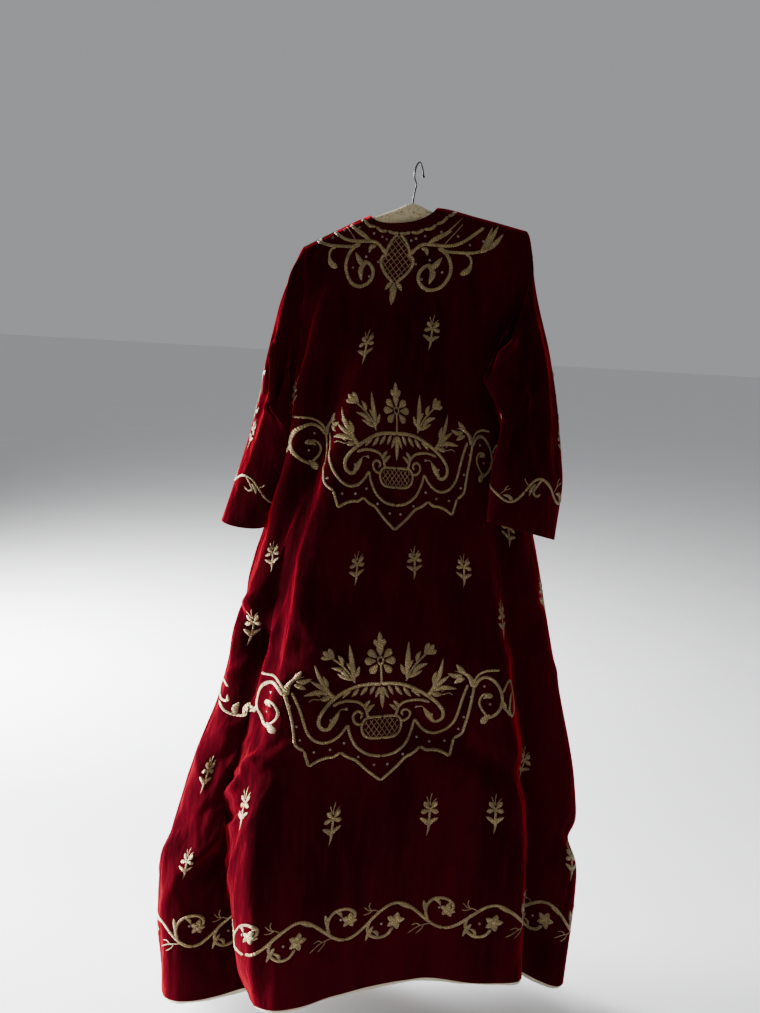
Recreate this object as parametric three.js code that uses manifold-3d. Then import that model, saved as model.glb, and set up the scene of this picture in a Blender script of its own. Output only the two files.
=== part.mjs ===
// A floor-length velvet ceremonial robe on a padded hanger. Millimetres, +Z up, the shown side
// towards -Y, and +X to the right of someone who faces that side. The origin is the inside of
// the hook's crown, where it rests on whatever holds the hanger up.
import * as THREE from "three";
import { mergeVertices } from "three/addons/utils/BufferGeometryUtils.js";
import Module from "manifold-3d";

// Driving dimensions.
const VELVET = 2; // wall of the velvet with its backing
const LINING = 1.2; // wall of the lining cloth
const SEAM = 0.3; // gap between two sewn pieces
const LENGTH = 1400; // shoulder line to hem, down the cloth
const ARMHOLE = 290; // shoulder line to underarm, down the cloth
const LINING_DEPTH = 60; // height of the lining's turned-up strip
const LINING_SHOWS = 6; // how far the lining hangs below the velvet
const LINING_GAP = 0.7; // room between the lining and the velvet it is felled to
const NECK = { centre: -23, half: 57, front: 27, back: 30, power: 0.6 };
const CENTRE_BACK = { top: 186.7, hem: 172.4 }; // angle of the closed opening's seam

// The shoulder line over the hanger, seen from the front: one end hangs lower than the other.
const SHOULDER = [
  { x: -198, z: -157 },
  { x: -140, z: -125 },
  { x: -79, z: -95 },
  { x: -23, z: -80 },
  { x: 34, z: -76 },
  { x: 110, z: -89 },
  { x: 198, z: -108 },
];

// The robe's hollow, level by level down the cloth: centre and half width along X, depth of the
// front and of the back from the hanger's plane, and how square the section is.
const BODY = [
  { level: 0, centre: 0, half: 197, front: 0.15, back: 0.15, square: 5 },
  { level: 7, centre: 0, half: 197, front: 16, back: 16, square: 5 },
  { level: 28, centre: 0, half: 197, front: 25, back: 24, square: 5 },
  { level: 60, centre: 0, half: 197, front: 31, back: 27, square: 4.6 },
  { level: 100, centre: -2, half: 196, front: 36, back: 31, square: 4 },
  { level: 190, centre: -10, half: 192, front: 46, back: 38, square: 3 },
  { level: 290, centre: -20, half: 188, front: 60, back: 48, square: 2.6 },
  { level: 380, centre: -11, half: 204, front: 74, back: 60, square: 2.5 },
  { level: 500, centre: -3, half: 241, front: 92, back: 74, square: 2.4 },
  { level: 600, centre: 0, half: 265, front: 108, back: 86, square: 2.4 },
  { level: 700, centre: 1, half: 286, front: 122, back: 98, square: 2.4 },
  { level: 850, centre: 2, half: 319, front: 142, back: 114, square: 2.5 },
  { level: 1000, centre: -5, half: 358, front: 158, back: 128, square: 2.5 },
  { level: 1200, centre: -19, half: 384, front: 168, back: 142, square: 2.6 },
  { level: 1400, centre: -24, half: 374, front: 176, back: 152, square: 2.6 },
];

// Height of the hem round the robe. The angle is 0 at the centre of the front and grows towards +X.
const HEM = [
  { deg: -180, z: -1500 },
  { deg: -120, z: -1540 },
  { deg: -75, z: -1554 },
  { deg: -48, z: -1548 },
  { deg: -38, z: -1536 },
  { deg: -30, z: -1514 },
  { deg: -18, z: -1506 },
  { deg: -8, z: -1490 },
  { deg: 4, z: -1470 },
  { deg: 14, z: -1461 },
  { deg: 26, z: -1455 },
  { deg: 46, z: -1450 },
  { deg: 60, z: -1478 },
  { deg: 76, z: -1510 },
  { deg: 96, z: -1518 },
  { deg: 130, z: -1490 },
  { deg: 180, z: -1500 },
];

// Where the armhole and, below it, the side gore's seam run on the front; the back mirrors it.
const SIDE_EDGE = [
  { level: 0, deg: 82 },
  { level: 60, deg: 79 },
  { level: 145, deg: 77 },
  { level: 230, deg: 78 },
  { level: 270, deg: 81 },
  { level: 290, deg: 88 },
  { level: 500, deg: 82 },
  { level: 900, deg: 75 },
  { level: 1400, deg: 68 },
];

// The largest folds, a row each. A fold runs from one level to another, from one angle to
// another with a bow between, stands out (or in) by so much at each end, and is so wide to its
// low-angle side and its high-angle side, in degrees.
const FOLDS = [
  { name: "front left crest", from: 120, to: 1400, deg: -12, hemDeg: -24, bow: -17,
    out: 5, hemOut: 38, low: 8, high: 17 },
  { name: "front left recess", from: 420, to: 1400, deg: -52, hemDeg: -38, bow: -10,
    out: -6, hemOut: -58, low: 13, high: 5 },
  { name: "left side lobe", from: 560, to: 1400, deg: -78, hemDeg: -64, bow: 0,
    out: 3, hemOut: 32, low: 13, high: 13 },
  { name: "left far recess", from: 700, to: 1400, deg: -96, hemDeg: -88, bow: 0,
    out: -2, hemOut: -22, low: 8, high: 8 },
  { name: "left arm ridge", from: 60, to: 780, deg: -45, hemDeg: -70, bow: -5,
    out: 10, hemOut: 10, low: 7, high: 9 },
  { name: "left chest trough", from: 60, to: 640, deg: -30, hemDeg: -50, bow: 0,
    out: -8, hemOut: -5, low: 8, high: 8 },
  { name: "right crest", from: 380, to: 1400, deg: 33, hemDeg: 48, bow: -3,
    out: 5, hemOut: 34, low: 13, high: 6 },
  { name: "right recess", from: 380, to: 1400, deg: 45, hemDeg: 57.5, bow: -3,
    out: -6, hemOut: -38, low: 5, high: 9 },
  { name: "right side lobe", from: 560, to: 1400, deg: 70, hemDeg: 78, bow: 0,
    out: 3, hemOut: 28, low: 10, high: 10 },
  { name: "centre trough", from: 850, to: 1400, deg: 14, hemDeg: 17, bow: 0,
    out: -3, hemOut: -14, low: 10, high: 9 },
  { name: "right small crest", from: 950, to: 1400, deg: 29, hemDeg: 33, bow: 0,
    out: 3, hemOut: 9, low: 7, high: 7 },
  { name: "back left lobe", from: 500, to: 1400, deg: -112, hemDeg: -110, bow: 0,
    out: 3, hemOut: 24, low: 10, high: 10 },
  { name: "back left recess", from: 420, to: 1400, deg: -136, hemDeg: -130, bow: 0,
    out: -5, hemOut: -40, low: 9, high: 8 },
  { name: "back left crest", from: 260, to: 1400, deg: -158, hemDeg: -150, bow: 5,
    out: 5, hemOut: 32, low: 11, high: 10 },
  { name: "back centre trough", from: 380, to: 1400, deg: -176, hemDeg: 178, bow: 0,
    out: -4, hemOut: -24, low: 11, high: 10 },
  { name: "back right crest", from: 300, to: 1400, deg: 157, hemDeg: 150, bow: -4,
    out: 5, hemOut: 30, low: 10, high: 12 },
  { name: "back right recess", from: 460, to: 1400, deg: 138, hemDeg: 129, bow: 0,
    out: -5, hemOut: -40, low: 9, high: 9 },
  { name: "back right lobe", from: 520, to: 1400, deg: 110, hemDeg: 106, bow: 0,
    out: 3, hemOut: 24, low: 10, high: 10 },
];

const FOLD_RISE = 0.15; // share of a fold's run in which it rises
const FOLD_FADE = 0.75; // share of its run after which a fold that ends above the hem fades

// The sleeves, a row for each section from the armhole (at 0) to the cuff (at 1): the outer and
// the inner end of the section, half its thickness, and the way that its front face turns.
const SLEEVE_RIGHT = [
  { at: 0, outX: 196, outY: 0, outZ: -108, inX: 180, inY: -2, inZ: -398, thick: 14, face: 10 },
  { at: 0.08, outX: 203, outY: -3, outZ: -130, inX: 177, inY: -32, inZ: -396, thick: 13, face: 20 },
  { at: 0.16, outX: 208, outY: -7, outZ: -158, inX: 160, inY: -66, inZ: -384, thick: 13, face: 28 },
  { at: 0.28, outX: 218, outY: -12, outZ: -208, inX: 135, inY: -84, inZ: -374, thick: 14, face: 34 },
  { at: 0.4, outX: 233, outY: -18, outZ: -266, inX: 156, inY: -87, inZ: -408, thick: 17, face: 34 },
  { at: 0.5, outX: 246, outY: -24, outZ: -320, inX: 172, inY: -89, inZ: -440, thick: 20, face: 32 },
  { at: 0.62, outX: 261, outY: -32, outZ: -392, inX: 168, inY: -94, inZ: -476, thick: 22, face: 30 },
  { at: 0.75, outX: 274, outY: -41, outZ: -470, inX: 159, inY: -101, inZ: -518, thick: 24, face: 28 },
  { at: 0.88, outX: 286, outY: -52, outZ: -560, inX: 156, inY: -112, inZ: -564, thick: 24, face: 27 },
  { at: 1, outX: 280, outY: -62, outZ: -649, inX: 154, inY: -126, inZ: -612, thick: 21, face: 27 },
];
const SLEEVE_LEFT = [
  { at: 0, outX: -194, outY: 0, outZ: -154, inX: -214, inY: 0, inZ: -444, thick: 18, face: -20 },
  { at: 0.08, outX: -200, outY: 1, outZ: -172, inX: -223, inY: -24, inZ: -441, thick: 18, face: -48 },
  { at: 0.16, outX: -206, outY: 2, outZ: -195, inX: -230, inY: -45, inZ: -440, thick: 17, face: -64 },
  { at: 0.28, outX: -218, outY: 4, outZ: -231, inX: -237, inY: -60, inZ: -444, thick: 15, face: -76 },
  { at: 0.4, outX: -231, outY: 7, outZ: -282, inX: -234, inY: -60, inZ: -456, thick: 15, face: -74 },
  { at: 0.5, outX: -243, outY: 9, outZ: -334, inX: -236, inY: -56, inZ: -468, thick: 17, face: -66 },
  { at: 0.62, outX: -258, outY: 12, outZ: -404, inX: -238, inY: -46, inZ: -498, thick: 22, face: -54 },
  { at: 0.75, outX: -275, outY: 14, outZ: -480, inX: -240, inY: -37, inZ: -542, thick: 28, face: -42 },
  { at: 0.88, outX: -297, outY: 16, outZ: -572, inX: -248, inY: -32, inZ: -605, thick: 35, face: -34 },
  { at: 1, outX: -318, outY: 18, outZ: -657, inX: -255, inY: -34, inZ: -665, thick: 38, face: -28 },
];

// The padded hanger, end to end: its top line, half its height and half its thickness.
const HANGER = [
  { x: -186, top: -155, high: 11, thick: 10 },
  { x: -150, top: -134, high: 18, thick: 14 },
  { x: -79, top: -99, high: 22, thick: 16 },
  { x: -40, top: -83, high: 23, thick: 16 },
  { x: -8, top: -70, high: 23, thick: 16 },
  { x: 30, top: -83, high: 22, thick: 14 },
  { x: 110, top: -93, high: 21, thick: 16 },
  { x: 170, top: -105, high: 16, thick: 12 },
  { x: 187, top: -110, high: 10, thick: 9 },
];

// The hook's wire from its stem in the hanger to its open tip, which points away from the front.
const WIRE_RADIUS = 1.5;
const TIP_RADIUS = 2.6;
const STEM = { x: -8, top: -70, sink: 18 }; // where the wire stands in the hanger's core, and how deep
const HOOK = [
  { x: -8, y: 0, z: -88 },
  { x: -8, y: 0, z: -78 },
  { x: -8, y: 0, z: -67 },
  { x: -6, y: -2, z: -50 },
  { x: -4, y: -4, z: -38 },
  { x: -8, y: -16, z: -27 },
  { x: -7, y: -17, z: -12 },
  { x: 0, y: 0, z: 1.5 },
  { x: 6, y: 14, z: -8 },
  { x: 8, y: 19, z: -18 },
];

// How finely the faceted cloth is cut.
const UPPER_ROWS = 10; // levels from the shoulder line to the underarm
const LOWER_LEVELS = [340, 400, 470, 550, 640, 730, 830, 930, 1040, 1150, 1250];
const HEM_LEVELS = [LENGTH - LINING_DEPTH, LENGTH];
const FRONT_COLUMNS = [
  { share: 0.356, columns: 14 },
  { share: 0.56, columns: 6 },
  { share: 1, columns: 14 },
];
const BACK_LEFT_COLUMNS = [
  { share: 0.224, columns: 3 },
  { share: 1, columns: 11 },
];
const BACK_RIGHT_COLUMNS = [
  { share: 0.813, columns: 11 },
  { share: 1, columns: 3 },
];
const GORE_COLUMNS = [{ share: 1, columns: 8 }];
const SLEEVE_STATIONS = [0, 0.03, 0.08, 0.16, 0.28, 0.4, 0.5, 0.64, 0.82, 1];
const SLEEVE_BLEND = 0.2; // share of the sleeve over which the armhole's edge becomes its section
const SEAM_LEAD = 10; // how far the sleeve carries on past the armhole's edge before it turns
const SIDEWAYS = 1.2; // how much of that lead is sideways, against straight on
const UNDERARM_RISE = 0.6; // how steeply the lead rises at the underarm's fold
const ARM_TOP = 0.5; // turn either side of the shoulder's tip where that lead is less
const TOP_LEAD = 0.4;

const radians = THREE.MathUtils.degToRad;
const mix = THREE.MathUtils.lerp;
const smooth = THREE.MathUtils.smoothstep;

// A smooth curve through one column of a table that never overshoots its rows.
function curve(rows, key, column) {
  const x = rows.map((row) => row[key]);
  const y = rows.map((row) => row[column]);
  const rise = x.slice(1).map((end, i) => (y[i + 1] - y[i]) / (end - x[i]));
  const slope = x.map((_, i) => {
    if (i === 0) return rise[0];
    if (i === x.length - 1) return rise[i - 1];
    if (rise[i - 1] * rise[i] <= 0) return 0;
    const before = x[i] - x[i - 1];
    const after = x[i + 1] - x[i];
    const weight = (2 * after + before) / rise[i - 1] + (after + 2 * before) / rise[i];
    return (3 * (before + after)) / weight;
  });
  return (at) => {
    let i = 0;
    while (i < x.length - 2 && at > x[i + 1]) i += 1;
    const step = x[i + 1] - x[i];
    const t = THREE.MathUtils.clamp((at - x[i]) / step, 0, 1);
    const u = 1 - t;
    return (
      y[i] * (1 + 2 * t) * u * u +
      y[i + 1] * (3 - 2 * t) * t * t +
      step * t * u * (slope[i] * u - slope[i + 1] * t)
    );
  };
}

// All columns of a table as one function of its key.
function curves(rows, key) {
  const columns = Object.keys(rows[0]).filter((name) => name !== key);
  const made = columns.map((name) => [name, curve(rows, key, name)]);
  return (at) => Object.fromEntries(made.map(([name, f]) => [name, f(at)]));
}

const bodyAt = curves(BODY, "level");
const shoulderAt = curve(SHOULDER, "x", "z");
const hemAt = curve(HEM, "deg", "z");
const sideEdgeAt = curve(SIDE_EDGE, "level", "deg");

// An angle brought into the half turn either side of the front.
const wrap = (deg) => THREE.MathUtils.euclideanModulo(deg + 180, 360) - 180;

// How far the folds stand out of the plain section at an angle and a level.
function foldOut(deg, level) {
  let out = 0;
  for (const fold of FOLDS) {
    const t = (level - fold.from) / (fold.to - fold.from);
    if (t <= 0 || t > 1) continue;
    const fades = fold.to < LENGTH ? 1 - smooth(t, FOLD_FADE, 1) : 1;
    const crest = mix(fold.deg, fold.hemDeg, t) + fold.bow * Math.sin(Math.PI * t);
    const off = wrap(deg - crest);
    const width = off < 0 ? fold.low : fold.high;
    const height = mix(fold.out, fold.hemOut, t) * smooth(t, 0, FOLD_RISE) * fades;
    out += height * Math.exp(-((off / width) ** 2));
  }
  return out;
}

// A point of the robe's cloth, mid-wall, at an angle round it and a level down it.
function clothPoint(deg, level) {
  const row = bodyAt(level);
  const turn = radians(deg);
  const across = Math.sin(turn);
  const ahead = Math.sign(Math.cos(turn));
  const forward = ahead * (1 - Math.abs(across) ** row.square) ** (1 / row.square);
  const depth = ahead > 0 ? row.front : row.back;
  const edge = Math.hypot(Math.sin(turn) * depth, Math.cos(turn) * row.half) || 1;
  const out = foldOut(deg, level);
  const atTop = BODY[0].centre + BODY[0].half * across;
  const top = shoulderAt(atTop);
  return new THREE.Vector3(
    row.centre + row.half * across + (out * Math.sin(turn) * depth) / edge,
    -depth * forward - (out * Math.cos(turn) * row.half) / edge,
    mix(top, hemAt(wrap(deg)), level / LENGTH),
  );
}

// The outward direction of the cloth there; along the shoulder seam it points straight up.
function clothNormal(deg, level) {
  if (level < 1) return new THREE.Vector3(0, 0, 1);
  const step = 0.4;
  const above = clothPoint(deg, level - 1);
  const below = clothPoint(deg, Math.min(level + 1, LENGTH));
  const across = clothPoint(deg + step, level).sub(clothPoint(deg - step, level));
  return below.sub(above).cross(across).normalize();
}

// The level at which the cloth begins at an angle: the neckline dips below the shoulder line.
function firstLevel(deg) {
  const turn = radians(deg);
  const x = BODY[0].centre + BODY[0].half * Math.sin(turn);
  const within = 1 - ((x - NECK.centre) / NECK.half) ** 2;
  const drop = Math.cos(turn) > 0 ? NECK.front : NECK.back;
  return within > 0 ? drop * within ** NECK.power : 0;
}

// Levels of the rows from the shoulder line, close together at both ends of the armhole.
const UPPER_LEVELS = Array.from({ length: UPPER_ROWS + 1 }, (_, k) =>
  (ARMHOLE * (1 - Math.cos((Math.PI * k) / UPPER_ROWS))) / 2,
);

// Shares of a panel's width at which its columns stand.
function shares(stretches) {
  const made = [0];
  for (const { share, columns } of stretches) {
    const start = made.at(-1);
    for (let i = 1; i <= columns; i += 1) made.push(mix(start, share, i / columns));
  }
  return made;
}

// How each panel is cut: its columns and the two seams that it runs between.
const frontSeam = (side) => (level) => side * sideEdgeAt(level);
const backSeam = (side) => (level) => side * (180 - sideEdgeAt(level));
const centreBack = (turns) => (level) =>
  mix(CENTRE_BACK.top, CENTRE_BACK.hem, level / LENGTH) - 360 * turns;
const CUT = {
  front: { columns: FRONT_COLUMNS, start: frontSeam(-1), end: frontSeam(1) },
  backLeft: { columns: BACK_LEFT_COLUMNS, start: centreBack(1), end: backSeam(-1) },
  backRight: { columns: BACK_RIGHT_COLUMNS, start: backSeam(1), end: centreBack(0) },
  goreLeft: { columns: GORE_COLUMNS, start: backSeam(-1), end: frontSeam(-1) },
  goreRight: { columns: GORE_COLUMNS, start: frontSeam(1), end: backSeam(1) },
};

// A closed shell from a grid of mid-wall points and their normals. A wrapped grid is a tube.
function shell(points, normals, wall, wrapped) {
  const rows = points.length;
  const columns = points[0].length;
  const positions = [];
  for (const side of [0.5, -0.5]) {
    points.forEach((row, i) =>
      row.forEach((point, j) =>
        positions.push(...point.clone().addScaledVector(normals[i][j], side * wall)),
      ),
    );
  }
  const outer = (i, j) => i * columns + (j % columns);
  const inner = (i, j) => rows * columns + outer(i, j);
  const index = [];
  const quad = (a, b, c, d) => index.push(a, b, c, a, c, d);
  const across = wrapped ? columns : columns - 1;
  for (let j = 0; j < across; j += 1) {
    for (let i = 0; i < rows - 1; i += 1) {
      quad(outer(i, j), outer(i + 1, j), outer(i + 1, j + 1), outer(i, j + 1));
      quad(inner(i, j), inner(i, j + 1), inner(i + 1, j + 1), inner(i + 1, j));
    }
    quad(outer(0, j + 1), inner(0, j + 1), inner(0, j), outer(0, j));
    quad(outer(rows - 1, j), inner(rows - 1, j), inner(rows - 1, j + 1), outer(rows - 1, j + 1));
  }
  if (!wrapped) {
    for (let i = 0; i < rows - 1; i += 1) {
      quad(outer(i, 0), inner(i, 0), inner(i + 1, 0), outer(i + 1, 0));
      quad(outer(i, across), outer(i + 1, across), inner(i + 1, across), inner(i, across));
    }
  }
  const geometry = new THREE.BufferGeometry();
  geometry.setAttribute("position", new THREE.Float32BufferAttribute(positions, 3));
  geometry.setIndex(index);
  return geometry;
}

// A panel's mid-wall points and normals between two edges given as angles by level. Half a seam
// is left at each edge, whose wall is cut along the direction that its neighbour shares.
function panelGrid(levels, { columns, start, end }) {
  const points = [];
  const normals = [];
  for (const level of levels) {
    const from = start(level);
    const to = end(level);
    const perDegree = (deg) => clothPoint(deg + 0.5, level).distanceTo(clothPoint(deg - 0.5, level));
    const inset = [from + SEAM / 2 / perDegree(from + 0.5), to - SEAM / 2 / perDegree(to - 0.5)];
    const spots = shares(columns).map((share) => {
      const nominal = mix(from, to, share);
      return {
        deg: mix(...inset, share),
        nominal,
        level: mix(firstLevel(nominal), LENGTH, level / LENGTH),
      };
    });
    points.push(spots.map((spot) => clothPoint(spot.deg, spot.level)));
    normals.push(spots.map((spot) => clothNormal(spot.nominal, spot.level)));
  }
  return { points, normals };
}

function panel(levels, cut) {
  const { points, normals } = panelGrid(levels, cut);
  return shell(points, normals, VELVET, false);
}

// The armhole's edge at a turn round it: 0 at the shoulder, a quarter at the front, half at the
// underarm. Its seam's gap lies outside the body's panels, and away points from them.
function armhole(turn, side) {
  const level = ((ARMHOLE - 2 * SEAM) * (1 - Math.cos(turn))) / 2;
  const front = Math.sin(turn) >= 0;
  const edge = sideEdgeAt(level);
  const folded = Math.abs(Math.sin(turn)) < 1e-6 && level > ARMHOLE / 2;
  const own = folded ? 90 : edge;
  const deg = side * (front ? own : 180 - own);
  const ahead = side * (front ? 0.5 : -0.5);
  const near = clothPoint(deg, level).distanceTo(clothPoint(deg + ahead, level));
  const shifted = folded ? deg : deg + (ahead * SEAM) / near;
  const point = clothPoint(shifted, level);
  const away = clothPoint(shifted + ahead, level).sub(point);
  away.x += side * SIDEWAYS * away.length();
  if (folded) away.set(side, 0, UNDERARM_RISE);
  return { point, normal: clothNormal(deg, level), away: away.normalize() };
}

// A sleeve: a flattened tube that starts as the armhole's edge and turns into the table's sections.
function sleeve(rows, side) {
  const sectionAt = curves(rows, "at");
  const around = 2 * UPPER_ROWS;
  const section = (at, turn) => {
    const row = sectionAt(at);
    const outer = new THREE.Vector3(row.outX, row.outY, row.outZ);
    const inner = new THREE.Vector3(row.inX, row.inY, row.inZ);
    const reach = outer.clone().sub(inner).multiplyScalar(0.5);
    const face = radians(row.face);
    const facing = new THREE.Vector3(Math.sin(face), -Math.cos(face), 0);
    facing.addScaledVector(reach, -facing.dot(reach) / reach.lengthSq()).normalize();
    return inner
      .add(outer)
      .multiplyScalar(0.5)
      .addScaledVector(reach, Math.cos(turn))
      .addScaledVector(facing, row.thick * Math.sin(turn));
  };
  const pointAt = (at, turn) => {
    const { point, away } = armhole(turn, side);
    const share = turn < ARM_TOP || turn > 2 * Math.PI - ARM_TOP ? TOP_LEAD : 1;
    const lead = share * SEAM_LEAD * Math.sin(Math.PI * Math.min(at / SLEEVE_BLEND, 1));
    const leave = smooth(at, 0, SLEEVE_BLEND);
    return point.lerp(section(at, turn), leave).addScaledVector(away, lead);
  };
  const points = [];
  const normals = [];
  for (const at of SLEEVE_STATIONS) {
    const turns = Array.from({ length: around }, (_, k) => (2 * Math.PI * k) / around);
    points.push(turns.map((turn) => pointAt(at, turn)));
    normals.push(
      turns.map((turn) => {
        if (at === 0) return armhole(turn, side).normal;
        const along = pointAt(Math.min(at + 0.01, 1), turn).sub(pointAt(at - 0.01, turn));
        const about = pointAt(at, turn + 0.04).sub(pointAt(at, turn - 0.04));
        return along.cross(about).multiplyScalar(-side).normalize();
      }),
    );
  }
  if (side > 0) return shell(points.map(reversed), normals.map(reversed), VELVET, true);
  return shell(points, normals, VELVET, true);
}

const reversed = (list) => [...list].reverse();

// The lining's strip: a closed ring inside the hem that hangs just below the velvet. Its rows
// lie against the panels' own rows, and the last carries on down their slope.
function hemLining() {
  const inward = -(VELVET / 2 + LINING_GAP + LINING / 2);
  const points = [[], [], []];
  const normals = [[], [], []];
  for (const cut of [CUT.backLeft, CUT.goreLeft, CUT.front, CUT.goreRight, CUT.backRight]) {
    const grid = panelGrid(HEM_LEVELS, cut);
    const [upper, lower] = grid.points;
    for (let j = 0; j < upper.length - 1; j += 1) {
      const slope = lower[j].clone().sub(upper[j]).setLength(LINING_SHOWS);
      const line = [upper[j], lower[j], lower[j].clone().add(slope)];
      const ways = [grid.normals[0][j], grid.normals[1][j], grid.normals[1][j]];
      line.forEach((point, i) => points[i].push(point.addScaledVector(ways[i], inward)));
      ways.forEach((way, i) => normals[i].push(way));
    }
  }
  return shell(points, normals, LINING, true);
}

// The padded hanger's body: oval sections along its drooping top line, closed at both ends.
function hangerBody() {
  const sectionAt = curves(HANGER, "x");
  const stations = 22;
  const around = 16;
  const start = HANGER[0].x;
  const end = HANGER.at(-1).x;
  const positions = [];
  const index = [];
  for (let i = 0; i <= stations; i += 1) {
    const x = mix(start, end, (1 - Math.cos((Math.PI * i) / stations)) / 2);
    const row = sectionAt(x);
    for (let j = 0; j < around; j += 1) {
      const turn = (2 * Math.PI * j) / around;
      positions.push(x, row.thick * Math.cos(turn), row.top - row.high * (1 - Math.sin(turn)));
    }
  }
  const at = (i, j) => i * around + (j % around);
  for (let j = 0; j < around; j += 1) {
    for (let i = 0; i < stations; i += 1) {
      index.push(at(i, j), at(i, j + 1), at(i + 1, j + 1), at(i, j), at(i + 1, j + 1), at(i + 1, j));
    }
    if (j < around - 2) {
      index.push(at(0, 0), at(0, j + 2), at(0, j + 1));
      index.push(at(stations, 0), at(stations, j + 1), at(stations, j + 2));
    }
  }
  const geometry = new THREE.BufferGeometry();
  geometry.setAttribute("position", new THREE.Float32BufferAttribute(positions, 3));
  geometry.setIndex(index);
  return geometry;
}

const wasm = await Module();
wasm.setup();

// A geometry as a manifold-3d solid, and a solid back as a geometry.
function toSolid(geometry) {
  const bare = geometry.clone();
  bare.deleteAttribute("normal");
  bare.deleteAttribute("uv");
  const merged = mergeVertices(bare, 1e-4);
  return new wasm.Manifold(
    new wasm.Mesh({
      numProp: 3,
      vertProperties: new Float32Array(merged.attributes.position.array),
      triVerts: new Uint32Array(merged.index.array),
    }),
  );
}
function toGeometry(solid) {
  const mesh = solid.getMesh();
  const geometry = new THREE.BufferGeometry();
  geometry.setAttribute("position", new THREE.BufferAttribute(mesh.vertProperties, 3));
  geometry.setIndex(new THREE.BufferAttribute(mesh.triVerts, 1));
  return geometry;
}

// The hanger's body with the hole that the stem stands in.
function hangerWithStemHole() {
  const radius = WIRE_RADIUS + SEAM;
  const hole = new THREE.CylinderGeometry(radius, radius, 2 * (STEM.sink + SEAM), 16);
  hole.rotateX(Math.PI / 2);
  hole.translate(STEM.x, 0, STEM.top);
  return toGeometry(toSolid(hangerBody()).subtract(toSolid(hole)));
}

// The hook's wire, a round section carried along its line.
function hookWire() {
  const line = new THREE.CatmullRomCurve3(
    HOOK.map(({ x, y, z }) => new THREE.Vector3(x, y, z)),
    false,
    "centripetal",
  );
  const section = new THREE.Shape().absarc(0, 0, WIRE_RADIUS, 0, 2 * Math.PI);
  return new THREE.ExtrudeGeometry(section, { steps: 34, curveSegments: 4, extrudePath: line });
}

// The small ball that guards the wire's cut end.
function hookTip() {
  const last = HOOK.at(-1);
  const before = HOOK.at(-2);
  const end = new THREE.Vector3(last.x, last.y, last.z);
  const along = end.clone().sub(new THREE.Vector3(before.x, before.y, before.z)).normalize();
  const ball = new THREE.SphereGeometry(TIP_RADIUS, 12, 8);
  end.addScaledVector(along, TIP_RADIUS + SEAM);
  return ball.translate(end.x, end.y, end.z);
}

const MATERIALS = {
  velvet: new THREE.MeshStandardMaterial({ color: 0x6b0713, roughness: 0.9, metalness: 0 }),
  lining: new THREE.MeshStandardMaterial({ color: 0xcdbf9f, roughness: 0.8, metalness: 0 }),
  padding: new THREE.MeshStandardMaterial({ color: 0xd8cba9, roughness: 0.7, metalness: 0 }),
  wire: new THREE.MeshStandardMaterial({ color: 0x3a3632, roughness: 0.4, metalness: 0.9 }),
};

const robe = new THREE.Group();
function add(name, geometry, material) {
  const mesh = new THREE.Mesh(geometry, MATERIALS[material].clone());
  mesh.name = name;
  robe.add(mesh);
}

const GORE_LEVELS = [ARMHOLE, ...LOWER_LEVELS, ...HEM_LEVELS];
const ALL_LEVELS = [...UPPER_LEVELS.slice(0, -1), ...GORE_LEVELS];

add("front_panel", panel(ALL_LEVELS, CUT.front), "velvet");
add("back_panel_left", panel(ALL_LEVELS, CUT.backLeft), "velvet");
add("back_panel_right", panel(ALL_LEVELS, CUT.backRight), "velvet");
add("side_gore_left", panel(GORE_LEVELS, CUT.goreLeft), "velvet");
add("side_gore_right", panel(GORE_LEVELS, CUT.goreRight), "velvet");
add("sleeve_left", sleeve(SLEEVE_LEFT, -1), "velvet");
add("sleeve_right", sleeve(SLEEVE_RIGHT, 1), "velvet");
add("hem_lining", hemLining(), "lining");
add("hanger_body", hangerWithStemHole(), "padding");
add("hanger_hook", hookWire(), "wire");
add("hanger_hook_tip", hookTip(), "wire");

export default robe;
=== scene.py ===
"""A floor-length velvet ceremonial robe on a padded hanger: its cloth, embroidery and finishes.

Sizes are millimetres in the part's frame, and meshes are made in metres: +Z is up, the shown
side is towards -Y, and the origin is the inside of the hook's crown. Every surface is a function
of two parameters that is worked out as whole arrays.
"""

import logging
import math
from collections.abc import Callable, Iterable, Sequence
from dataclasses import dataclass, fields, replace
from enum import Enum
from functools import partial
from typing import Any, ClassVar

import bpy
import numpy as np
from mathutils import Matrix, Vector


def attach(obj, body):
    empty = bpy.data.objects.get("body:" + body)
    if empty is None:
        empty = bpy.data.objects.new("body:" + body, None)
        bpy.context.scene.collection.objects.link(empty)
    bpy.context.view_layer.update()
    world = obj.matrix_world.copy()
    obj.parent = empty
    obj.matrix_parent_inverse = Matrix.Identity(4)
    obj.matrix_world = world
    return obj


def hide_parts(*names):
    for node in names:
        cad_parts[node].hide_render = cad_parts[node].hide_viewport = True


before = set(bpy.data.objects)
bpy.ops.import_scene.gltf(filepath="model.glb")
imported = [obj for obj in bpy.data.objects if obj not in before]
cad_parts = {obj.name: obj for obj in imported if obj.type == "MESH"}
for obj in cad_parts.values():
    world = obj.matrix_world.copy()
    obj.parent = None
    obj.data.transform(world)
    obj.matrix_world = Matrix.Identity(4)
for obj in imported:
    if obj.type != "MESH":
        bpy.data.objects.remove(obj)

Array = np.ndarray
Piece = bpy.types.Object
Finish = bpy.types.Material
Socket = bpy.types.NodeSocket
Pair = tuple[float, float]
Colour = tuple[float, float, float, float]
METRES = 0.001  # metres in a millimetre

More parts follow.
